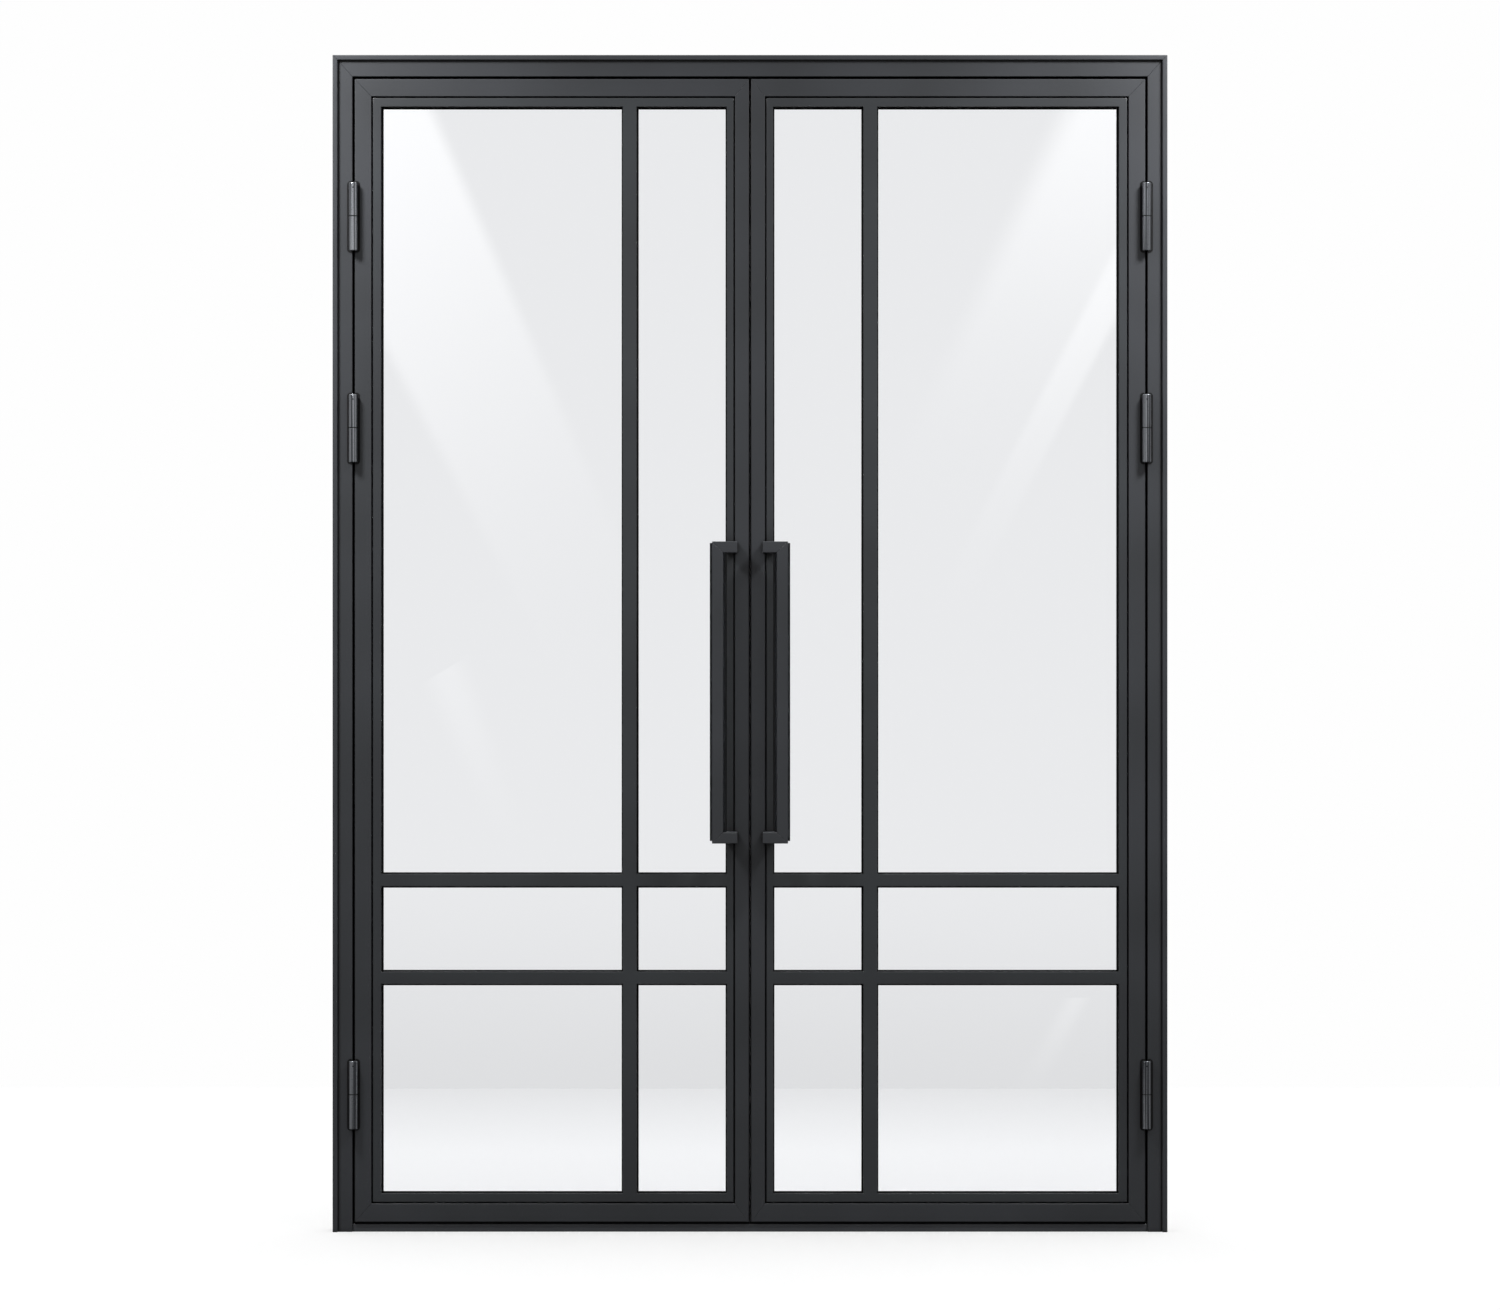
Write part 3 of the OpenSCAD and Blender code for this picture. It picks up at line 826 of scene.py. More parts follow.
class RowRule:
    """A node tree that sets copies of one object along a line, each turned and sized a little by chance."""

    def __init__(self) -> None:
        """Builds the tree."""
        tree = self.tree = bpy.data.node_groups.new("row_of_copies", "GeometryNodeTree")
        for name, kind in (("Start", "Vector"), ("End", "Vector"), ("Count", "Int"), ("Copy", "Object"),
                           ("Turn", "Vector"), ("Twist", "Float"), ("Spread", "Float"), ("Seed", "Int"),
                           ("Finish", "Material")):
            tree.interface.new_socket(name, in_out="INPUT", socket_type=f"NodeSocket{kind}")
        tree.interface.new_socket("Geometry", in_out="OUTPUT", socket_type="NodeSocketGeometry")
        given = add_node(tree, "NodeGroupInput").outputs
        line = add_node(tree, "GeometryNodeMeshLine", {
            "Count": given["Count"], "Start Location": given["Start"], "Offset": given["End"]},
            mode="END_POINTS")
        back = add_node(tree, "ShaderNodeMath", {0: given["Twist"], 1: -1.0}, operation="MULTIPLY")
        twist = add_node(tree, "FunctionNodeRandomValue", {
            2: back.outputs[0], 3: given["Twist"], "Seed": given["Seed"]}, data_type="FLOAT")
        twisted = add_node(tree, "FunctionNodeAxisAngleToRotation", {
            "Axis": (0, 0, 1), "Angle": twist.outputs[1]})
        turned = add_node(tree, "FunctionNodeEulerToRotation", {"Euler": given["Turn"]})
        rotation = add_node(tree, "FunctionNodeRotateRotation", {
            "Rotation": turned.outputs[0], "Rotate By": twisted.outputs[0]}, rotation_space="LOCAL")
        least = add_node(tree, "ShaderNodeMath", {0: 1.0, 1: given["Spread"]}, operation="SUBTRACT")
        size = add_node(tree, "FunctionNodeRandomValue", {
            2: least.outputs[0], 3: 1.0, "Seed": given["Seed"]}, data_type="FLOAT")
        copy = add_node(tree, "GeometryNodeObjectInfo", {"Object": given["Copy"]})
        copies = add_node(tree, "GeometryNodeInstanceOnPoints", {
            "Points": line.outputs[0], "Instance": copy.outputs["Geometry"],
            "Rotation": rotation.outputs[0], "Scale": size.outputs[1]})
        real = add_node(tree, "GeometryNodeRealizeInstances", {"Geometry": copies.outputs[0]})
        coated = add_node(tree, "GeometryNodeSetMaterial", {
            "Geometry": real.outputs[0], "Material": given["Finish"]})
        add_node(tree, "NodeGroupOutput", {"Geometry": coated.outputs[0]})

    def run(self, **given: object) -> bpy.types.Mesh:
        """Runs the tree.

        Args:
            **given: A value for each of the tree's inputs, by its name in lower case.

        Returns:
            The row as one mesh.
        """
        host = linked("row", bpy.data.meshes.new("row"))
        rule = host.modifiers.new("row", "NODES")
        rule.node_group = self.tree
        for item in self.tree.interface.items_tree:
            if item.in_out == "INPUT":
                rule[item.identifier] = given[item.name.lower()]
        made = baked(host)
        bpy.data.objects.remove(host)
        return made


@dataclass(frozen=True)
class Screw:
    """A raised countersunk screw head with a hexagon socket. It points along -Z, with its rim on z = 0."""

    radius: float = 3.4 * MM
    dome: float = 0.45 * MM
    socket: float = 1.5 * MM
    depth: float = 1.3 * MM
    shank: float = 4.0 * MM
    shank_share: float = 0.5
    crown_share: float = 0.78
    shoulder: float = 0.2 * MM
    rim: float = 0.1 * MM
    socket_lead: float = 0.05 * MM
    steps: int = 24

    def object(self) -> bpy.types.Object:
        """Builds one screw, to be copied.

        Returns:
            The screw.
        """
        mesh = bmesh.new()
        angles = [2 * math.pi * k / self.steps for k in range(self.steps)]
        sixth = math.pi / 3
        flats = [self.socket / math.cos(t % sixth - sixth / 2) for t in angles]
        rounds = [(self.shank_share, self.shank), (1, self.shoulder), (1, -self.rim),
                  (self.crown_share, -self.dome)]
        rings = [([self.radius * share] * self.steps, z) for share, z in rounds]
        rings += [(flats, -self.dome - self.socket_lead), (flats, self.depth - self.dome)]
        loops = [[mesh.verts.new((r * math.cos(t), r * math.sin(t), z)) for r, t in zip(radii, angles)]
                 for radii, z in rings]
        mesh.faces.new(loops[0])
        mesh.faces.new(loops[-1])
        for low, high in zip(loops, loops[1:]):
            for k in range(self.steps):
                j = (k + 1) % self.steps
                mesh.faces.new((low[k], low[j], high[j], high[k]))
        bmesh.ops.recalc_face_normals(mesh, faces=mesh.faces)
        data = bpy.data.meshes.new("screw")
        mesh.to_mesh(data)
        mesh.free()
        return linked("screw", data)


@dataclass(frozen=True)
class WeldRipple:
    """One ripple of a weld, a flattened bead with few faces, because a weld has dozens."""

    radius: float = 1.3 * MM
    flatness: float = 0.75
    segments: int = 8
    rings: int = 5

    def object(self) -> bpy.types.Object:
        """Builds one ripple, to be copied.

        Returns:
            The ripple.
        """
        mesh = bmesh.new()
        bmesh.ops.create_uvsphere(mesh, u_segments=self.segments, v_segments=self.rings, radius=self.radius)
        for vertex in mesh.verts:
            vertex.co.z *= self.flatness
        data = bpy.data.meshes.new("ripple")
        mesh.to_mesh(data)
        mesh.free()
        return linked("ripple", data)


@dataclass(frozen=True)
class HingeShadeSheet:
    """Thin dark rubber sheets behind the barrels, as painted shade: they stand in for the shade round each
    barrel.
    """

    reach: float = 11.5 * MM
    margin: float = 3.0 * MM
    thickness: float = 0.3 * MM
    corner: float = 6.0 * MM

    def add(self, shell: Shell, near: Flat, outward: int, ways: Sequence[int] = (1,)) -> None:
        """Adds the three sheets of painted shade that lie on one side of the gap.

        Args:
            shell: The piece that takes them.
            near: Where the pads start, as x, and the face that they lie on, as y.
            outward: 1 on the frame's side of the gap, -1 on the leaf's.
            ways: The sides of the doorway that get them, as the sign of x.
        """
        for level in LEVELS:
            low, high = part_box(f"right_{level}_hinge_frame_knuckle")
            z0, z1 = low.z - self.margin, span(f"right_{level}_hinge_leaf_knuckle", 2)[1] + self.margin
            round_x = (low.x + high.x) / 2 + outward * (self.reach - self.corner)
            bends = [(u, z0 + self.corner + v) for u, v in arc((0, 0), self.corner, -90, 0)]
            bends += [(u, z1 - self.corner + v) for u, v in arc((0, 0), self.corner, 0, 90)]
            outline = [(near[0], z0), *((round_x + outward * u, z) for u, z in bends), (near[0], z1)]
            layers = (near[1], near[1] - self.thickness)
            for way in ways:
                shell.bar(*[[(way * x, y, z) for x, z in outline] for y in layers], [0.0] * len(outline), 0)


@dataclass(frozen=True)
class Kit:
    """What every maker needs: the doorway, the finishes, the row rule and the two things it copies."""

    door: Doorway
    finish: Finishes
    rows: RowRule
    screw: bpy.types.Object
    ripple: bpy.types.Object

    def discard_copies(self) -> None:
        """Removes the objects that were only there to be copied."""
        for used in (self.screw, self.ripple):
            bpy.data.objects.remove(used)


# ---- The frame -------------------------------------------------------------------------------------------


@dataclass
class OuterFrame:
    """The fixed frame: two jambs and a head of one hollow section, the threshold, the seal and catches."""

    kit: Kit
    edge: float = 1.5 * MM
    groove_depth: float = 1.5 * MM
    groove_edge: float = 0.4 * MM
    wall: float = 2.0 * MM
    hollow_depth: float = 0.25
    hollow_to_hole: float = 50 * MM
    overcut: float = 10 * MM
    hole_radius: float = 3.25 * MM
    drill_depth: float = 100 * MM
    jamb_holes: tuple[float, ...] = (0.15, 0.60, 1.10, 1.95)
    head_hole_x: float = 0.4
    seal_inset: float = 2.0 * MM
    threshold_foot_edge: float = 0.3 * MM
    seal_base: float = 1.0 * MM
    seal_base_edge: float = 0.6 * MM
    bulb_share: float = 0.42
    magnet_rim: float = 0.4 * MM
    magnet_clear: float = 22 * MM
    pole_share: float = 0.62
    cup_share: float = 0.74

    def section(self) -> list[tuple[int, float]]:
        """Corners of the frame's section.

        Returns:
            Each corner as a step inwards and a place along Y.
        """
        door = self.kit.door
        groove_y = door.face_y + self.groove_depth
        return [(0, door.lip_y), (1, door.lip_y), (1, groove_y), (2, groove_y), (2, door.face_y),
                (3, door.face_y), (3, door.stop_y), (4, door.stop_y), (4, door.back_y), (0, door.back_y)]

    def radii(self) -> list[float]:
        """Radius at each corner of the section. The inside corners stay sharp."""
        edge = self.edge
        return [edge, edge, 0, 0, self.groove_edge, edge, 0, edge, edge, edge]

    def drill(self) -> list[Flat]:
        """Profile of the drill that makes the fixing holes."""
        return [(0, 0), (self.hole_radius, 0), (self.hole_radius, self.drill_depth), (0, self.drill_depth)]

    def jamb(self, side: Side) -> None:
        """Makes one jamb, with the holes for its wall fixings and its hollow foot.

        Args:
            side: Its half of the doorway.
        """
        door, node = self.kit.door, f"jamb_{side.value}"
        shell = Shell(f"{node}_finished")
        foot = [(door.steps_x[s], y, 0.0) for s, y in self.section()]
        top = [(door.steps_x[s], y, door.steps_z[s]) for s, y in self.section()]
        shell.bar(foot, top, self.radii())
        outer, _, _, rebate, stop = door.steps_x
        wall, front_y = self.wall, door.face_y + 2 * self.wall
        cuts = Shell("jamb_cuts")
        for z in self.jamb_holes:
            cuts.turned(self.drill(), (stop, 0, z), (1, 0, 0))
        hollow = [(outer - wall, front_y), (rebate + wall, front_y), (rebate + wall, door.stop_y + wall),
                  (stop + wall, door.stop_y + wall), (stop + wall, door.back_y - wall),
                  (outer - wall, door.back_y - wall)]
        depth = min(self.hollow_depth, self.jamb_holes[0] - self.hollow_to_hole)
        cuts.bar(*[[(x, y, z) for x, y in hollow] for z in (-self.overcut, depth)], [0] * len(hollow), 0)
        placed(shell.finished(self.kit.finish.coat, side, cuts), "frame", Slot.COAT, node)

    def head(self) -> None:
        """Makes the head, with its fixing holes."""
        door = self.kit.door
        shell = Shell("head_finished")
        ends = [[(way * door.steps_x[s], y, door.steps_z[s]) for s, y in self.section()] for way in (-1, 1)]
        shell.bar(*ends, self.radii())
        cuts = Shell("head_cuts")
        for x in (-self.head_hole_x, self.head_hole_x):
            cuts.turned(self.drill(), (x, 0, door.steps_z[-1]))
        placed(shell.finished(self.kit.finish.coat, cuts=cuts), "frame", Slot.COAT, "head")

    def threshold(self) -> None:
        """Makes the flat bar on the floor between the jambs."""
        low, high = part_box("threshold")
        shell = Shell("threshold_finished")
        section = [(low.y, low.z), (high.y, low.z), (high.y, high.z), (low.y, high.z)]
        shell.bar(*[[(x, y, z) for y, z in section] for x in (low.x, high.x)],
                  [self.threshold_foot_edge] * 2 + [self.edge] * 2)
        # Its coat is paler, as painted light, with painted shade in the gap above.
        placed(shell.finished(self.kit.finish.painted_light_threshold_coat), "frame", Slot.COAT, "threshold")

    def seal_outline(self, width: float, height: float) -> list[Flat]:
        """Section of the bulb seal.

        Args:
            width: Its width.
            height: How far it stands off the stop.

        Returns:
            Points as a place across it and a height off the stop.
        """
        bulb, base = width * self.bulb_share, self.seal_base
        middle = (width / 2, height - bulb)
        return [(0, 0), (width, 0), (width, self.seal_base_edge), (width - base, base),
                *arc(middle, bulb, 0, 180, 10), (base, base), (0, self.seal_base_edge)]

    def seal(self) -> None:
        """Makes the bulb seal, one strip on each jamb and three along the head, and the hinges' sheets of
        painted shade.
        """
        door = self.kit.door
        low_z, high_z = span("frame_seal", 2)
        side_x, head_z = door.steps_x[-1] + self.seal_inset, door.steps_z[-1] + self.seal_inset
        width = high_z - head_z
        outline = self.seal_outline(width, span("threshold", 1)[1] - door.leaf_back_y)
        shell = Shell("frame_seal_finished")
        for way in (-1, 1):
            plan = [(way * (side_x + u), door.stop_y - v) for u, v in outline]
            shell.bar(*[[(*p, z) for p in plan] for z in (low_z, head_z)], [0.0] * len(outline), 0)
        magnet_low, magnet_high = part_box("catch_magnets")
        magnet_x = magnet_high.x - (magnet_high.z - magnet_low.z) / 2
        near, far = magnet_x - self.magnet_clear, magnet_x + self.magnet_clear
        corner_x = side_x + width
        for x in ((-corner_x, -far), (-near, near), (far, corner_x)):
            shell.bar(*[[(place, door.stop_y - v, head_z + u) for u, v in outline] for place in x],
                      [0.0] * len(outline), 0)
        # Dark rubber sheets round the frame's barrels, as painted shade.
        HingeShadeSheet().add(shell, (door.steps_x[3] + self.edge, door.face_y), 1, (-1, 1))
        placed(shell.finished(self.kit.finish.rubber), "frame", Slot.RUBBER, "frame_seal")

    def magnets(self) -> None:
        """Makes the two pot magnets: a plated cup with a groove round its pole."""
        low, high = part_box("catch_magnets")
        radius, rim = (high.z - low.z) / 2, self.magnet_rim
        shell = Shell("catch_magnets_finished")
        pole, cup = radius * self.pole_share, radius * self.cup_share
        profile = [(0, 0), (pole, 0), (pole, rim), (cup, rim), (cup, 0), (radius - rim, 0), (radius, rim),
                   (radius, high.y - low.y), (0, high.y - low.y)]
        for x in (low.x + radius, high.x - radius):
            shell.turned(profile, (x, low.y, (low.z + high.z) / 2), (0, 1, 0))
        placed(shell.finished(self.kit.finish.zinc), "frame", Slot.ZINC, "catch_magnets")

    def build(self) -> None:
        """Makes every piece of the frame."""
        self.jamb(Side.LEFT)
        self.jamb(Side.RIGHT)
        self.head()
        self.threshold()
        self.seal()
        self.magnets()


@dataclass
class Hinge:
    """A weld-on lift-off hinge: a lower half on the frame, an upper half on the leaf and a washer between."""

    kit: Kit
    side: Side
    level: str
    end_round: float = 1.6 * MM
    flag_round: float = 0.5 * MM
    flag_thickness: float = 3.0 * MM
    flag_margin: float = 3.0 * MM
    joint_round: float = 0.5 * MM
    flag_start: float = 0.6
    barrel_steps: int = 56
    weld_pitch: float = 1.5 * MM
    weld_inset: float = 0.5 * MM
    weld_lean: float = 0.35
    weld_spread: float = 0.16
    oil_hole: float = 1.3 * MM
    oil_hole_drop: float = 9.0 * MM
    oil_hole_depth: float = 2.0 * MM
    oil_hole_lead: float = 0.5 * MM
    oil_hole_steps: int = 20

    def knuckle(self, half: str, body: str, flag_x: float, weld_x: float) -> None:
        """Makes one half of the barrel with its flag, and the weld that holds it.

        Args:
            half: Frame or leaf.
            body: The body that it moves with.
            flag_x: Inner side of the flag.
            weld_x: Where the weld runs.
        """
        low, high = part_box(f"right_{self.level}_hinge_{half}_knuckle")
        radius, height, ease = (high.x - low.x) / 2, high.z - low.z, self.end_round
        axis = ((low.x + high.x) / 2, low.y + radius, low.z)
        node = f"{self.side.value}_{self.level}_hinge_{half}_knuckle"
        shell = Shell(f"{node}_finished")
        free, joined = (ease, self.joint_round) if half == "frame" else (self.joint_round, ease)
        shell.turned([(0, 0), *arc((radius - free, free), free, -90, 0), *arc(
            (radius - joined, height - joined), joined, 0, 90), (0, height)], axis, steps=self.barrel_steps)
        shell.block((flag_x, axis[1] + radius * self.flag_start, low.z + self.flag_margin),
                    (flag_x + self.flag_thickness, high.y, high.z - self.flag_margin), self.flag_round)
        count = int((height - 4 * self.flag_margin) / self.weld_pitch)
        y = self.kit.door.face_y - self.weld_inset
        shell.take_in(self.kit.rows.run(
            start=(weld_x, y, low.z + 2 * self.flag_margin), end=(weld_x, y, high.z - 2 * self.flag_margin),
            count=count, copy=self.kit.ripple, turn=(self.weld_lean, 0.0, 0.0), twist=math.pi,
            spread=self.weld_spread, seed=len(node), finish=self.kit.finish.barrel))
        cuts = None
        if half == "leaf":
            cuts = Shell("oil_hole")
            hole, depth = self.oil_hole, self.oil_hole_depth
            cuts.turned([(0, 0), (hole, 0), (hole, depth), (0, depth)],
                        (axis[0], low.y - self.oil_hole_lead, high.z - self.oil_hole_drop), (0, 1, 0),
                        self.oil_hole_steps)
        placed(shell.finished(self.kit.finish.barrel, self.side, cuts), body, Slot.COAT, node)

    def build(self) -> None:
        """Makes both halves."""
        leaf_x, rebate_x = self.kit.door.leaf.x1, self.kit.door.steps_x[3]
        self.knuckle("frame", "frame", rebate_x - self.flag_thickness, rebate_x + self.weld_inset)
        self.knuckle("leaf", f"{self.side.value}_leaf", leaf_x, leaf_x - self.weld_inset)


def hinge_washers(kit: Kit) -> None:
    """Makes the six washers that carry the leaves, each with eased rims.

    Args:
        kit: What every maker needs.
    """
    low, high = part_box("hinge_washers")
    barrel_low, barrel_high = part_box("right_top_hinge_frame_knuckle")
    centre_x, radius = (barrel_low.x + barrel_high.x) / 2, high.x - (barrel_low.x + barrel_high.x) / 2
    rim = 0.3 * MM
    shell = Shell("hinge_washers_finished")
    for level in LEVELS:
        z0 = span(f"right_{level}_hinge_frame_knuckle", 2)[1]
        z1 = span(f"right_{level}_hinge_leaf_knuckle", 2)[0]
        height = z1 - z0
        for way in (-1, 1):
            shell.turned([(0, 0), (radius - rim, 0), (radius, rim), (radius, height - rim),
                          (radius - rim, height), (0, height)],
                         (way * centre_x, (low.y + high.y) / 2, z0))
    placed(shell.finished(kit.finish.blackened), "frame", Slot.ZINC, "hinge_washers")


# ---- The leaves ------------------------------------------------------------------------------------------


@dataclass
class Pull:
    """A C-shaped pull of square bar, mitred at every corner and fixed by two posts."""

    kit: Kit
    side: Side
    face: Face
    bar_size: float = 20 * MM
    grip_width: float = 20 * MM
    edge: float = 1.2 * MM
    mitre_edge: float = 0.6 * MM

    def build(self) -> None:
        """Makes the grip, its two arms and its two posts as one piece."""
        kind = self.face.name.lower()
        low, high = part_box(f"right_pull_{kind}")
        if self.face is Face.FRONT:
            foot_y, far_y = high.y, low.y
        else:
            foot_y, far_y = low.y, high.y
        near_y = far_y - self.face.value * self.bar_size
        grip = (high.x - self.grip_width, high.x)
        post = (low.x, low.x + self.bar_size)
        radii, seam = [self.edge] * 4, self.mitre_edge
        node = f"{self.side.value}_pull_{kind}"
        shell = Shell(f"{node}_finished")
        plan = [(grip[0], far_y), (grip[1], far_y), (grip[1], near_y), (grip[0], near_y)]
        shell.bar([(x, y, low.z + (self.bar_size if x == grip[0] else 0)) for x, y in plan],
                  [(x, y, high.z - (self.bar_size if x == grip[0] else 0)) for x, y in plan], radii, seam)
        for outer, way in ((high.z, -1), (low.z, 1)):
            inner = outer + way * self.bar_size
            section = [(far_y, outer), (far_y, inner), (near_y, inner), (near_y, outer)]
            shell.bar([(grip[1] if z == outer else grip[0], y, z) for y, z in section],
                      [(post[0] if y == far_y else post[1], y, z) for y, z in section], radii, seam)
            section = [(post[0], outer), (post[0], inner), (post[1], inner), (post[1], outer)]
            shell.bar([(x, far_y if x == post[0] else near_y, z) for x, z in section],
                      [(x, foot_y, z) for x, z in section], radii, seam)
        placed(shell.finished(self.kit.finish.coat, self.side), f"{self.side.value}_leaf", Slot.COAT, node)


@dataclass
class Leaf:
    """One leaf: a mitred steel frame, a front lattice, screwed beads behind, gaskets, glass and fittings."""

    kit: Kit
    side: Side
    edge: float = 1.5 * MM
    light_edge: float = 0.7 * MM
    bead_edge: float = 1.0 * MM
    bead_gap: float = 2.7 * MM
    rear_edge: float = 1.0 * MM
    rear_joint: float = 0.2 * MM
    gasket_reveal: float = 3.2 * MM
    gasket_tuck: float = 0.9 * MM
    gasket_hidden: float = 3.0 * MM
    gasket_round: float = 0.9 * MM
    glass_edge: float = 0.6 * MM
    air: float = 0.05 * MM
    gasket_chamfer: float = 0.3 * MM
    seal_width: float = 6 * MM
    seal_nose: float = 1 * MM
    seal_in: float = 5 * MM
    seal_contact: float = 0.01 * MM
    screw_end_z: float = 110 * MM
    screw_end_x: float = 80 * MM
    screws_up: int = 5
    screws_across: int = 3
    plate_edge: float = 0.4 * MM
    plate_screw_in: float = 6 * MM
    plate_seed: int = 9

    @property
    def body(self) -> str:
        """Name of the body that the leaf's pieces move with."""
        return f"{self.side.value}_leaf"

    def node(self, part: str) -> str:
        """Name of one of the leaf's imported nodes.

        Args:
            part: What the part is called on either leaf.

        Returns:
            The full name.
        """
        return f"{self.side.value}_{part}"

    def frame_members(self) -> None:
        """Makes the two stiles and the two rails."""
        door, edge = self.kit.door, self.edge
        parts = {Edge.HINGE: "hinge_stile", Edge.TOP: "top_rail", Edge.MEETING: "meeting_stile",
                 Edge.BOTTOM: "bottom_rail"}
        for place, part in parts.items():
            shell = Shell(f"{self.node(part)}_finished")
            shell.mitred(place, door.leaf, door.sash, (door.face_y, door.leaf_back_y),
                         [edge, self.bead_edge, edge, edge])
            placed(shell.finished(self.kit.finish.coat, self.side), self.body, Slot.COAT, self.node(part))

    def front_lattice(self) -> None:
        """Makes the front beads and glazing bars, which are welded and ground into one lattice."""
        door = self.kit.door
        parts = ("bead_hinge_side", "bead_meeting_side", "bead_top", "bead_bottom", "bar_vertical",
                 "bar_upper", "bar_lower")
        shell = Shell(self.node("front_lattice"))
        shell.lattice(door.sash.inset(self.bead_gap), door.lights, span("right_bead_top", 1),
                      (self.bead_edge, self.light_edge))
        placed(shell.finished(self.kit.finish.lattice_coat, self.side), self.body, Slot.COAT,
               *(self.node(part) for part in parts))

    def rear_beads(self) -> None:
        """Makes the loose beads behind the glass, mitred at the corners."""
        door, edge = self.kit.door, self.rear_edge
        shell = Shell(f"{self.node('rear_beads')}_finished")
        for place in Edge:
            shell.mitred(place, door.sash, door.sight, span("right_rear_beads", 1), [0, 0, edge, edge])
        placed(shell.finished(self.kit.finish.coat, self.side), self.body, Slot.COAT, self.node("rear_beads"))

    def rear_bars(self) -> None:
        """Makes the bars behind the glass: one upright, and the cross bars that stop against it."""
        door, edge = self.kit.door, self.rear_edge
        y = span("right_rear_bars", 1)
        shell = Shell(f"{self.node('rear_bars')}_finished")
        plan = [(door.bar_x[0], y[0]), (door.bar_x[1], y[0]), (door.bar_x[1], y[1]), (door.bar_x[0], y[1])]
        ends = [[(*p, z) for p in plan] for z in (door.sight.z0, door.sight.z1)]
        shell.bar(*ends, [0, 0, edge, edge])
        gap = self.rear_joint
        for x in ((door.sight.x0 + gap, door.bar_x[0] - gap), (door.bar_x[1] + gap, door.sight.x1 - gap)):
            for z in door.cross_z:
                section = [(y[0], z[0]), (y[0], z[1]), (y[1], z[1]), (y[1], z[0])]
                shell.bar([(x[0], *p) for p in section], [(x[1], *p) for p in section], [0, 0, edge, edge])
        placed(shell.finished(self.kit.finish.coat, self.side), self.body, Slot.COAT, self.node("rear_bars"))

    def bead_screws(self) -> None:
        """Makes the screws that hold the rear beads, in a row along each."""
        sight = self.kit.door.sight
        y = sum(span("right_rear_beads", 1)) / 2
        z = (sight.z0 + self.screw_end_z, sight.z1 - self.screw_end_z)
        x = (sight.x0 + self.screw_end_x, sight.x1 - self.screw_end_x)
        quarter = math.pi / 2
        rows = [((sight.x1, y, z[0]), (sight.x1, y, z[1]), self.screws_up, (0, quarter, 0)),
                ((sight.x0, y, z[0]), (sight.x0, y, z[1]), self.screws_up, (0, -quarter, 0)),
                ((x[0], y, sight.z1), (x[1], y, sight.z1), self.screws_across, (0, 0, 0)),
                ((x[0], y, sight.z0), (x[1], y, sight.z0), self.screws_across, (math.pi, 0, 0))]
        shell = Shell(f"{self.node('bead_screws')}_finished")
        for seed, (start, end, count, turn) in enumerate(rows):
            shell.take_in(self.kit.rows.run(
                start=start, end=end, count=count, copy=self.kit.screw, turn=turn, twist=math.pi,
                spread=0.0, seed=seed, finish=self.kit.finish.zinc))
        placed(shell.finished(self.kit.finish.zinc, self.side), self.body, Slot.ZINC,
               self.node("bead_screws"))

    def gaskets(self) -> None:
        """Makes the rubber: the lips round every light, the two seals and the hinges' sheets of painted
        shade.
        """
        door = self.kit.door
        glass_y = span("right_glass", 1)
        steel_y = (span("right_bead_top", 1)[1], span("right_rear_beads", 1)[0])
        reveal, nose, hidden = self.gasket_reveal, self.gasket_round, self.gasket_hidden
        shell = Shell(f"{self.node('leaf_gaskets')}_finished")
        for light in door.lights:
            for way, steel, glass in ((1, steel_y[0], glass_y[0]), (-1, steel_y[1], glass_y[1])):
                back = glass - way * self.air
                lip = arc((reveal - nose, 0), nose, -90, 0, 4)
                section = [(-hidden, steel), *((u, steel + way * (v + nose)) for u, v in lip),
                           (reveal, back - way * self.gasket_chamfer), (reveal - self.gasket_chamfer, back),
                           (-hidden, back)]
                # Each lip is tucked in on its meeting side and bottom, so it shows wider on the hinge side
                # and top: that wider dark strip is painted shade, where the steel's shadow falls on the
                # glass.
                shell.ring(Rect(light.x0 - self.gasket_tuck, light.x1, light.z0 - self.gasket_tuck, light.z1),
                           section)
        self.meeting_seal(shell)
        self.bottom_seal(shell)
        # Dark rubber sheets round the leaf's barrels, as painted shade.
        HingeShadeSheet().add(shell, (door.leaf.x1 - self.edge, door.face_y), -1)
        placed(shell.finished(self.kit.finish.rubber, self.side), self.body, Slot.RUBBER,
               self.node("leaf_gaskets"))

    def meeting_seal(self, shell: Shell) -> None:
        """Adds the rubber nose along the meeting edge, which is soft and rests on the other leaf's.

        Args:
            shell: The gaskets that it belongs with.
        """
        leaf, nose = self.kit.door.leaf, self.seal_nose
        front = self.kit.door.face_y + self.seal_in
        middle = (self.seal_contact + nose, front + self.seal_width / 2)
        outline = [(leaf.x0, front + self.seal_width), *arc(middle, nose, 90, 270, 8), (leaf.x0, front)]
        ends = (span("right_leaf_gaskets", 2)[0], leaf.z1 - self.edge)
        shell.bar(*[[(x, y, z) for x, y in outline] for z in ends], [0.0] * len(outline), 0)

    def bottom_seal(self, shell: Shell) -> None:
        """Adds the rubber strip under the bottom rail, which stops just over the threshold.

        Args:
            shell: The gaskets that it belongs with.
        """
        leaf, nose = self.kit.door.leaf, self.seal_nose
        front = self.kit.door.face_y + self.seal_in
        back = front + self.seal_width
        low = span("right_leaf_gaskets", 2)[0]
        outline = [(front, leaf.z0), *arc((front + nose, low + nose), nose, 180, 270, 4),
                   *arc((back - nose, low + nose), nose, 270, 360, 4), (back, leaf.z0)]
        ends = (leaf.x0, leaf.x1 - self.edge)
        shell.bar(*[[(x, y, z) for y, z in outline] for x in ends], [0.0] * len(outline), 0)

    def glass(self) -> None:
        """Makes the pane, with ground edges."""
        low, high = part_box("right_glass")
        shell = Shell(f"{self.node('glass')}_finished")
        shell.block(tuple(low), tuple(high), self.glass_edge)
        placed(shell.finished(self.kit.finish.glass, self.side), self.body, Slot.GLASS, self.node("glass"))

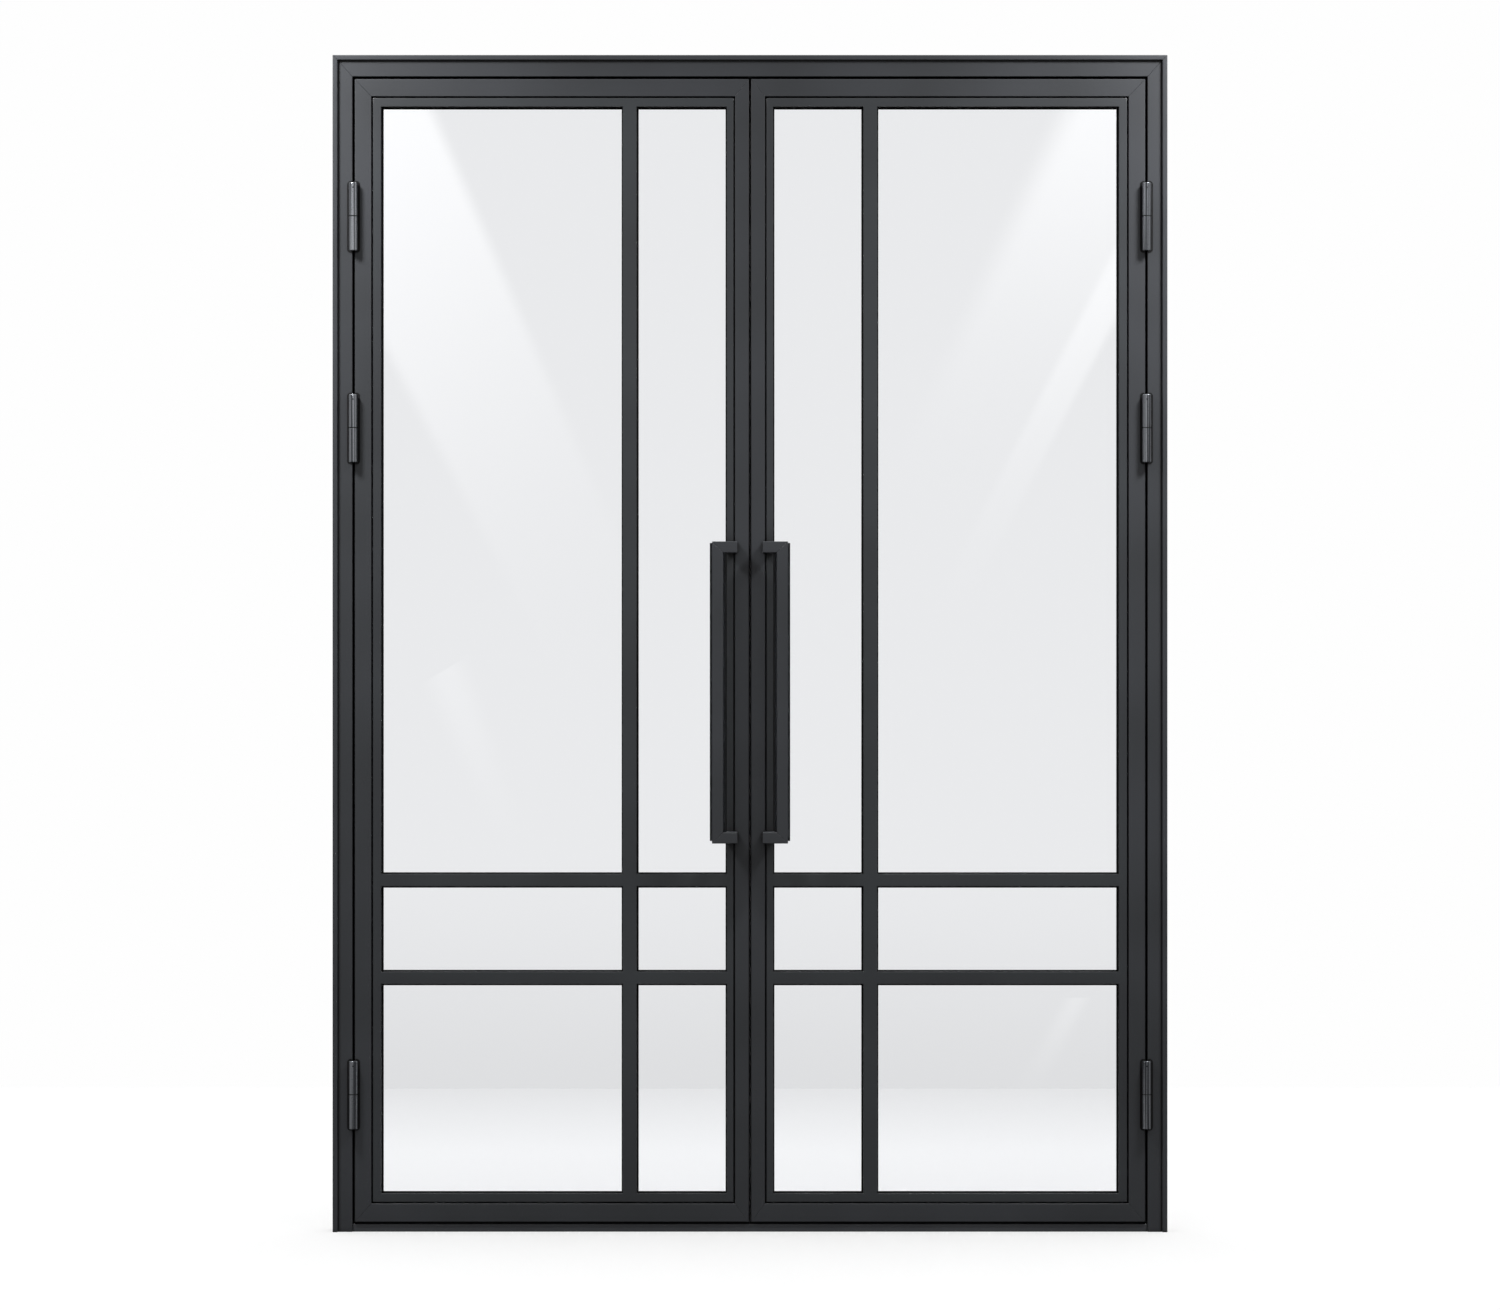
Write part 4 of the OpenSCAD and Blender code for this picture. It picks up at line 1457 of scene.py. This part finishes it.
    def catch_plate(self) -> None:
        """Makes the plate that the magnet holds, with its two screws."""
        low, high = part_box("right_catch_plate")
        shell = Shell(f"{self.node('catch_plate')}_finished")
        shell.block(tuple(low), tuple(high), self.plate_edge)
        y, z, margin = high.y - self.plate_edge, (low.z + high.z) / 2, self.plate_screw_in
        shell.take_in(self.kit.rows.run(
            start=(low.x + margin, y, z), end=(high.x - margin, y, z), count=2, copy=self.kit.screw,
            turn=(math.pi / 2, 0, 0), twist=math.pi, spread=0.0, seed=self.plate_seed,
            finish=self.kit.finish.zinc))
        placed(shell.finished(self.kit.finish.zinc, self.side), self.body, Slot.ZINC,
               self.node("catch_plate"))

    def build(self) -> None:
        """Makes every piece of the leaf."""
        self.frame_members()
        self.front_lattice()
        self.rear_beads()
        self.rear_bars()
        self.bead_screws()
        self.gaskets()
        self.glass()
        self.catch_plate()
        Pull(self.kit, self.side, Face.FRONT).build()
        Pull(self.kit, self.side, Face.REAR, grip_width=30 * MM).build()


def dress_hidden_nodes(finish: Finishes) -> None:
    """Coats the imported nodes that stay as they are: the hinge pins and the studs of the pulls.

    Args:
        finish: The finishes.
    """
    for node in ("hinge_pins", "left_pull_studs", "right_pull_studs"):
        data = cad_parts[node].data
        data.materials.clear()
        data.materials.append(finish.zinc)
        log.info("%s: packed mesh kept", node)


# ---- The studio ------------------------------------------------------------------------------------------


@dataclass(frozen=True)
class LightCard:
    """A soft-edged strip light behind the camera that shows only as a reflection in the glass.

    Its corners are where its reflection falls on the glass, as x and z: two at its bright end, then two at
    the end where it fades out.
    """

    name: str
    corners: tuple[Flat, Flat, Flat, Flat]
    strength: float
    soft: float = 0.3


def new_collection(name: str) -> bpy.types.Collection:
    """Adds an empty collection to the scene.

    Args:
        name: Its name.

    Returns:
        The collection.
    """
    made = bpy.data.collections.new(name)
    bpy.context.scene.collection.children.link(made)
    return made


@dataclass
class Studio:
    """A pale floor, soft lights and the camera. The soft boxes leave the unlit collection dark."""

    distance: float = 10.0
    camera_height: float = 1.037
    view_width: float = 2.6946
    sensor: float = 36.0
    card_behind: float = 2.0
    card_falloff: float = 1.6
    card_spacing: float = 0.05
    card_steps: int = 12
    lamp_place: Point = (1.38, -0.8, 2.75)
    lamp_target: Point = (0.9, 0.0, 1.4)
    lamp_size: Flat = (0.35, 0.35)
    lamp_power: float = 23.5
    lamp_spread: float = 110.0
    floor_depth: float = 3.3
    floor_width: float = 12.0
    floor_fade_from: float = 1.6
    floor_colour: str = "#808080"
    floor_seen_colour: str = "#BFBFBF"
    white: str = "#FEFEFE"
    behind_glass: float = 0.06
    horizon: float = 0.275
    zenith: float = 2.1
    floor_glow: float = 0.53
    far_floor_glow: float = 0.36
    zenith_power: float = 3.0
    shade_heights: Flat = (-0.082, -0.035)
    shade_levels: Flat = (0.89, 1.0)
    below_heights: Flat = (-0.14, -0.09)
    clip_end: float = 100.0
    unlit: bpy.types.Collection = field(default_factory=lambda: new_collection("unlit_by_softboxes"))
    cards: tuple[LightCard, ...] = (
        LightCard("left_beam", ((-0.92, 2.05), (-0.65, 2.24), (-0.10, 0.96), (-0.28, 0.85)), 4.4, 0.12),
        LightCard("left_glint", ((-0.60, 0.98), (-0.50, 1.04), (-0.36, 0.62), (-0.42, 0.60)), 0.8, 0.45),
        LightCard("right_beam", ((0.62, 2.20), (1.02, 2.20), (0.42, 1.20), (0.155, 1.20)), 4.2, 0.2),
        LightCard("right_streak", ((0.765, 2.00), (0.86, 2.00), (0.32, 0.98), (0.249, 0.98)), 3.8, 0.25),
        LightCard("right_glint", ((0.56, 0.42), (0.62, 0.42), (0.50, 0.18), (0.42, 0.18)), 1.0, 0.45),
    )

    def camera(self) -> None:
        """Sets up the camera, level and square to the doors."""
        plane_y = span("jamb_right", 1)[0]
        data = bpy.data.cameras.new("camera")
        data.sensor_width = self.sensor
        data.lens = self.sensor * self.distance / self.view_width
        data.clip_end = self.clip_end
        camera = bpy.data.objects.new("camera", data)
        camera.location = (0, plane_y - self.distance, self.camera_height)
        camera.rotation_euler = (math.pi / 2, 0, 0)
        bpy.context.scene.collection.objects.link(camera)
        bpy.context.scene.camera = camera

    def floor(self) -> None:
        """Lays a plain pale floor."""
        x, y = self.floor_width / 2, self.floor_depth
        mesh = bpy.data.meshes.new("floor")
        mesh.from_pydata([(-x, -y, 0), (x, -y, 0), (x, y, 0), (-x, y, 0)], [], [(0, 1, 2, 3)])
        made = blank_material("painted_floor")
        tree = made.node_tree
        path = add_node(tree, "ShaderNodeLightPath").outputs
        seen = add_node(tree, "ShaderNodeMath", {0: path["Is Camera Ray"], 1: path["Is Transmission Ray"]},
                        operation="MAXIMUM").outputs[0]
        colour = blended(tree, seen, linear(self.floor_colour), linear(self.floor_seen_colour))
        paint = add_node(tree, "ShaderNodeBsdfDiffuse", {"Color": colour})
        place = add_node(tree, "ShaderNodeTexCoord").outputs["Object"]
        depth = add_node(tree, "ShaderNodeSeparateXYZ", {0: place}).outputs[1]
        faded = ranged(tree, depth, (self.floor_fade_from, self.floor_depth),
                       (self.floor_glow, self.far_floor_glow))
        through = add_node(tree, "ShaderNodeMath", {0: path["Is Transmission Ray"], 1: faded},
                           operation="MULTIPLY").outputs[0]
        strength = add_node(tree, "ShaderNodeMath", {
            0: path["Is Camera Ray"], 1: self.floor_glow, 2: through}, operation="MULTIPLY_ADD")
        glow = add_node(tree, "ShaderNodeEmission", {"Strength": strength.outputs[0]})
        both = add_node(tree, "ShaderNodeAddShader", {0: paint.outputs[0], 1: glow.outputs[0]})
        add_node(tree, "ShaderNodeOutputMaterial", {"Surface": both.outputs[0]})
        mesh.materials.append(made)
        floor = linked("floor", mesh)
        self.unlit.objects.link(floor)

    def world(self) -> None:
        """Lights the studio from above, and shows a white backdrop behind the doors."""
        world = bpy.data.worlds.new("studio")
        world.use_nodes = True
        tree = world.node_tree
        tree.nodes.clear()
        way = add_node(tree, "ShaderNodeTexCoord").outputs["Generated"]
        height = add_node(tree, "ShaderNodeSeparateXYZ", {0: way}).outputs[2]
        up = add_node(tree, "ShaderNodeMath", {0: height, 1: 0.0}, operation="MAXIMUM").outputs[0]
        high = add_node(tree, "ShaderNodeMath", {0: up, 1: self.zenith_power}, operation="POWER").outputs[0]
        ambient = blended(tree, high, (self.horizon,) * 3 + (1,), (self.zenith,) * 3 + (1,))
        shade = ranged(tree, height, self.shade_heights, self.shade_levels, "SMOOTHSTEP")
        below = ranged(tree, height, self.below_heights, (1.0, 0.0), "SMOOTHSTEP")
        lit = add_node(tree, "ShaderNodeMath", {0: shade, 1: below}, operation="MAXIMUM").outputs[0]
        behind = blended(tree, lit, (0, 0, 0, 1), linear(self.white))
        path = add_node(tree, "ShaderNodeLightPath").outputs
        bounces = add_node(tree, "ShaderNodeMath", {
            0: path["Diffuse Depth"], 1: path["Glossy Depth"]}).outputs[0]
        bounced = add_node(tree, "ShaderNodeMath", {0: bounces, 1: 1.0}, operation="MINIMUM").outputs[0]
        dim = blended(tree, bounced, behind, (self.behind_glass,) * 3 + (1,))
        mirrored = blended(tree, path["Is Singular Ray"], ambient, (0, 0, 0, 1))
        through = blended(tree, path["Is Transmission Ray"], mirrored, dim)
        seen = blended(tree, path["Is Camera Ray"], through, linear(self.white))
        glow = add_node(tree, "ShaderNodeBackground", {"Color": seen, "Strength": 1.0})
        add_node(tree, "ShaderNodeOutputWorld", {"Surface": glow.outputs[0]})
        bpy.context.scene.world = world

    def lamp(self, side: Side, way: int) -> None:
        """Adds a soft box on one side of the doors.

        Args:
            side: Which side.
            way: The sign of x on that side.
        """
        place, target = (Vector((way * x, y, z)) for x, y, z in (self.lamp_place, self.lamp_target))
        name = f"{side.value}_softbox"
        data = bpy.data.lights.new(name, "AREA")
        data.shape, data.size, data.size_y = "RECTANGLE", *self.lamp_size
        data.energy, data.spread = self.lamp_power, math.radians(self.lamp_spread)
        lamp = bpy.data.objects.new(name, data)
        lamp.location = place
        lamp.rotation_euler = (target - place).to_track_quat("-Z", "Y").to_euler()
        lamp.visible_camera = lamp.visible_transmission = False
        lamp.light_linking.receiver_collection = self.unlit
        for link in self.unlit.collection_objects:
            link.light_linking.link_state = "EXCLUDE"
        bpy.context.scene.collection.objects.link(lamp)

    def card(self, card: LightCard, behind: float) -> None:
        """Hangs one light card behind the camera.

        Args:
            card: The card.
            behind: How far behind the camera.
        """
        y = span("right_glass", 1)[0] - self.distance - behind
        scale = (2 * self.distance + behind) / self.distance
        steps = self.card_steps
        corners = [Vector((x * scale, y, self.camera_height + (z - self.camera_height) * scale))
                   for x, z in card.corners]
        first, second, third, fourth = corners
        shares = [k / steps for k in range(steps + 1)]
        points = [first.lerp(second, u).lerp(fourth.lerp(third, u), v) for v in shares for u in shares]
        row = steps + 1
        faces = [(j * row + i, j * row + i + 1, (j + 1) * row + i + 1, (j + 1) * row + i)
                 for j in range(steps) for i in range(steps)]
        mesh = bpy.data.meshes.new(card.name)
        mesh.from_pydata(points, [], faces)
        places = mesh.uv_layers.new(name="place")
        for loop in mesh.loops:
            places.uv[loop.index].vector = (loop.vertex_index % row / steps, loop.vertex_index // row / steps)
        made = blank_material(card.name)
        tree = made.node_tree
        uv = add_node(tree, "ShaderNodeSeparateXYZ", {0: add_node(tree, "ShaderNodeTexCoord").outputs["UV"]})
        near = ranged(tree, uv.outputs[0], (0, card.soft), (0, 1), "SMOOTHSTEP")
        far = ranged(tree, uv.outputs[0], (1 - card.soft, 1), (1, 0), "SMOOTHSTEP")
        ahead = ranged(tree, uv.outputs[1], (0, 1), (1, 0), "SMOOTHSTEP")
        along = add_node(tree, "ShaderNodeMath", {
            0: ahead, 1: self.card_falloff}, operation="POWER").outputs[0]
        across = add_node(tree, "ShaderNodeMath", {0: near, 1: far}, operation="MULTIPLY").outputs[0]
        mask = add_node(tree, "ShaderNodeMath", {0: across, 1: along}, operation="MULTIPLY").outputs[0]
        clear = add_node(tree, "ShaderNodeBsdfTransparent")
        glow = add_node(tree, "ShaderNodeEmission", {"Strength": card.strength})
        mixed = add_node(tree, "ShaderNodeMixShader", {0: mask, 1: clear.outputs[0], 2: glow.outputs[0]})
        add_node(tree, "ShaderNodeOutputMaterial", {"Surface": mixed.outputs[0]})
        mesh.materials.append(made)
        piece = linked(card.name, mesh)
        piece.visible_camera = piece.visible_diffuse = False
        piece.visible_transmission = piece.visible_shadow = False

    def build(self) -> None:
        """Sets up the whole studio."""
        bpy.context.scene.view_settings.view_transform = "Standard"
        self.camera()
        self.floor()
        self.world()
        self.lamp(Side.LEFT, -1)
        self.lamp(Side.RIGHT, 1)
        for number, card in enumerate(self.cards):
            self.card(card, self.card_behind + number * self.card_spacing)
        log.info("studio: camera, floor, two softboxes and %d light cards", len(self.cards))


def main() -> None:
    """Builds the doors and the studio."""
    logging.basicConfig(level=logging.INFO, format="%(name)s: %(message)s")
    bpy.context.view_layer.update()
    kit = Kit(Doorway.measured(), Finishes(), RowRule(), Screw().object(), WeldRipple().object())
    OuterFrame(kit).build()
    for side in Side:
        Leaf(kit, side).build()
        for level in LEVELS:
            Hinge(kit, side, level).build()
    hinge_washers(kit)
    dress_hidden_nodes(kit.finish)
    kit.discard_copies()
    Studio().build()


if __name__ == "__main__":
    main()
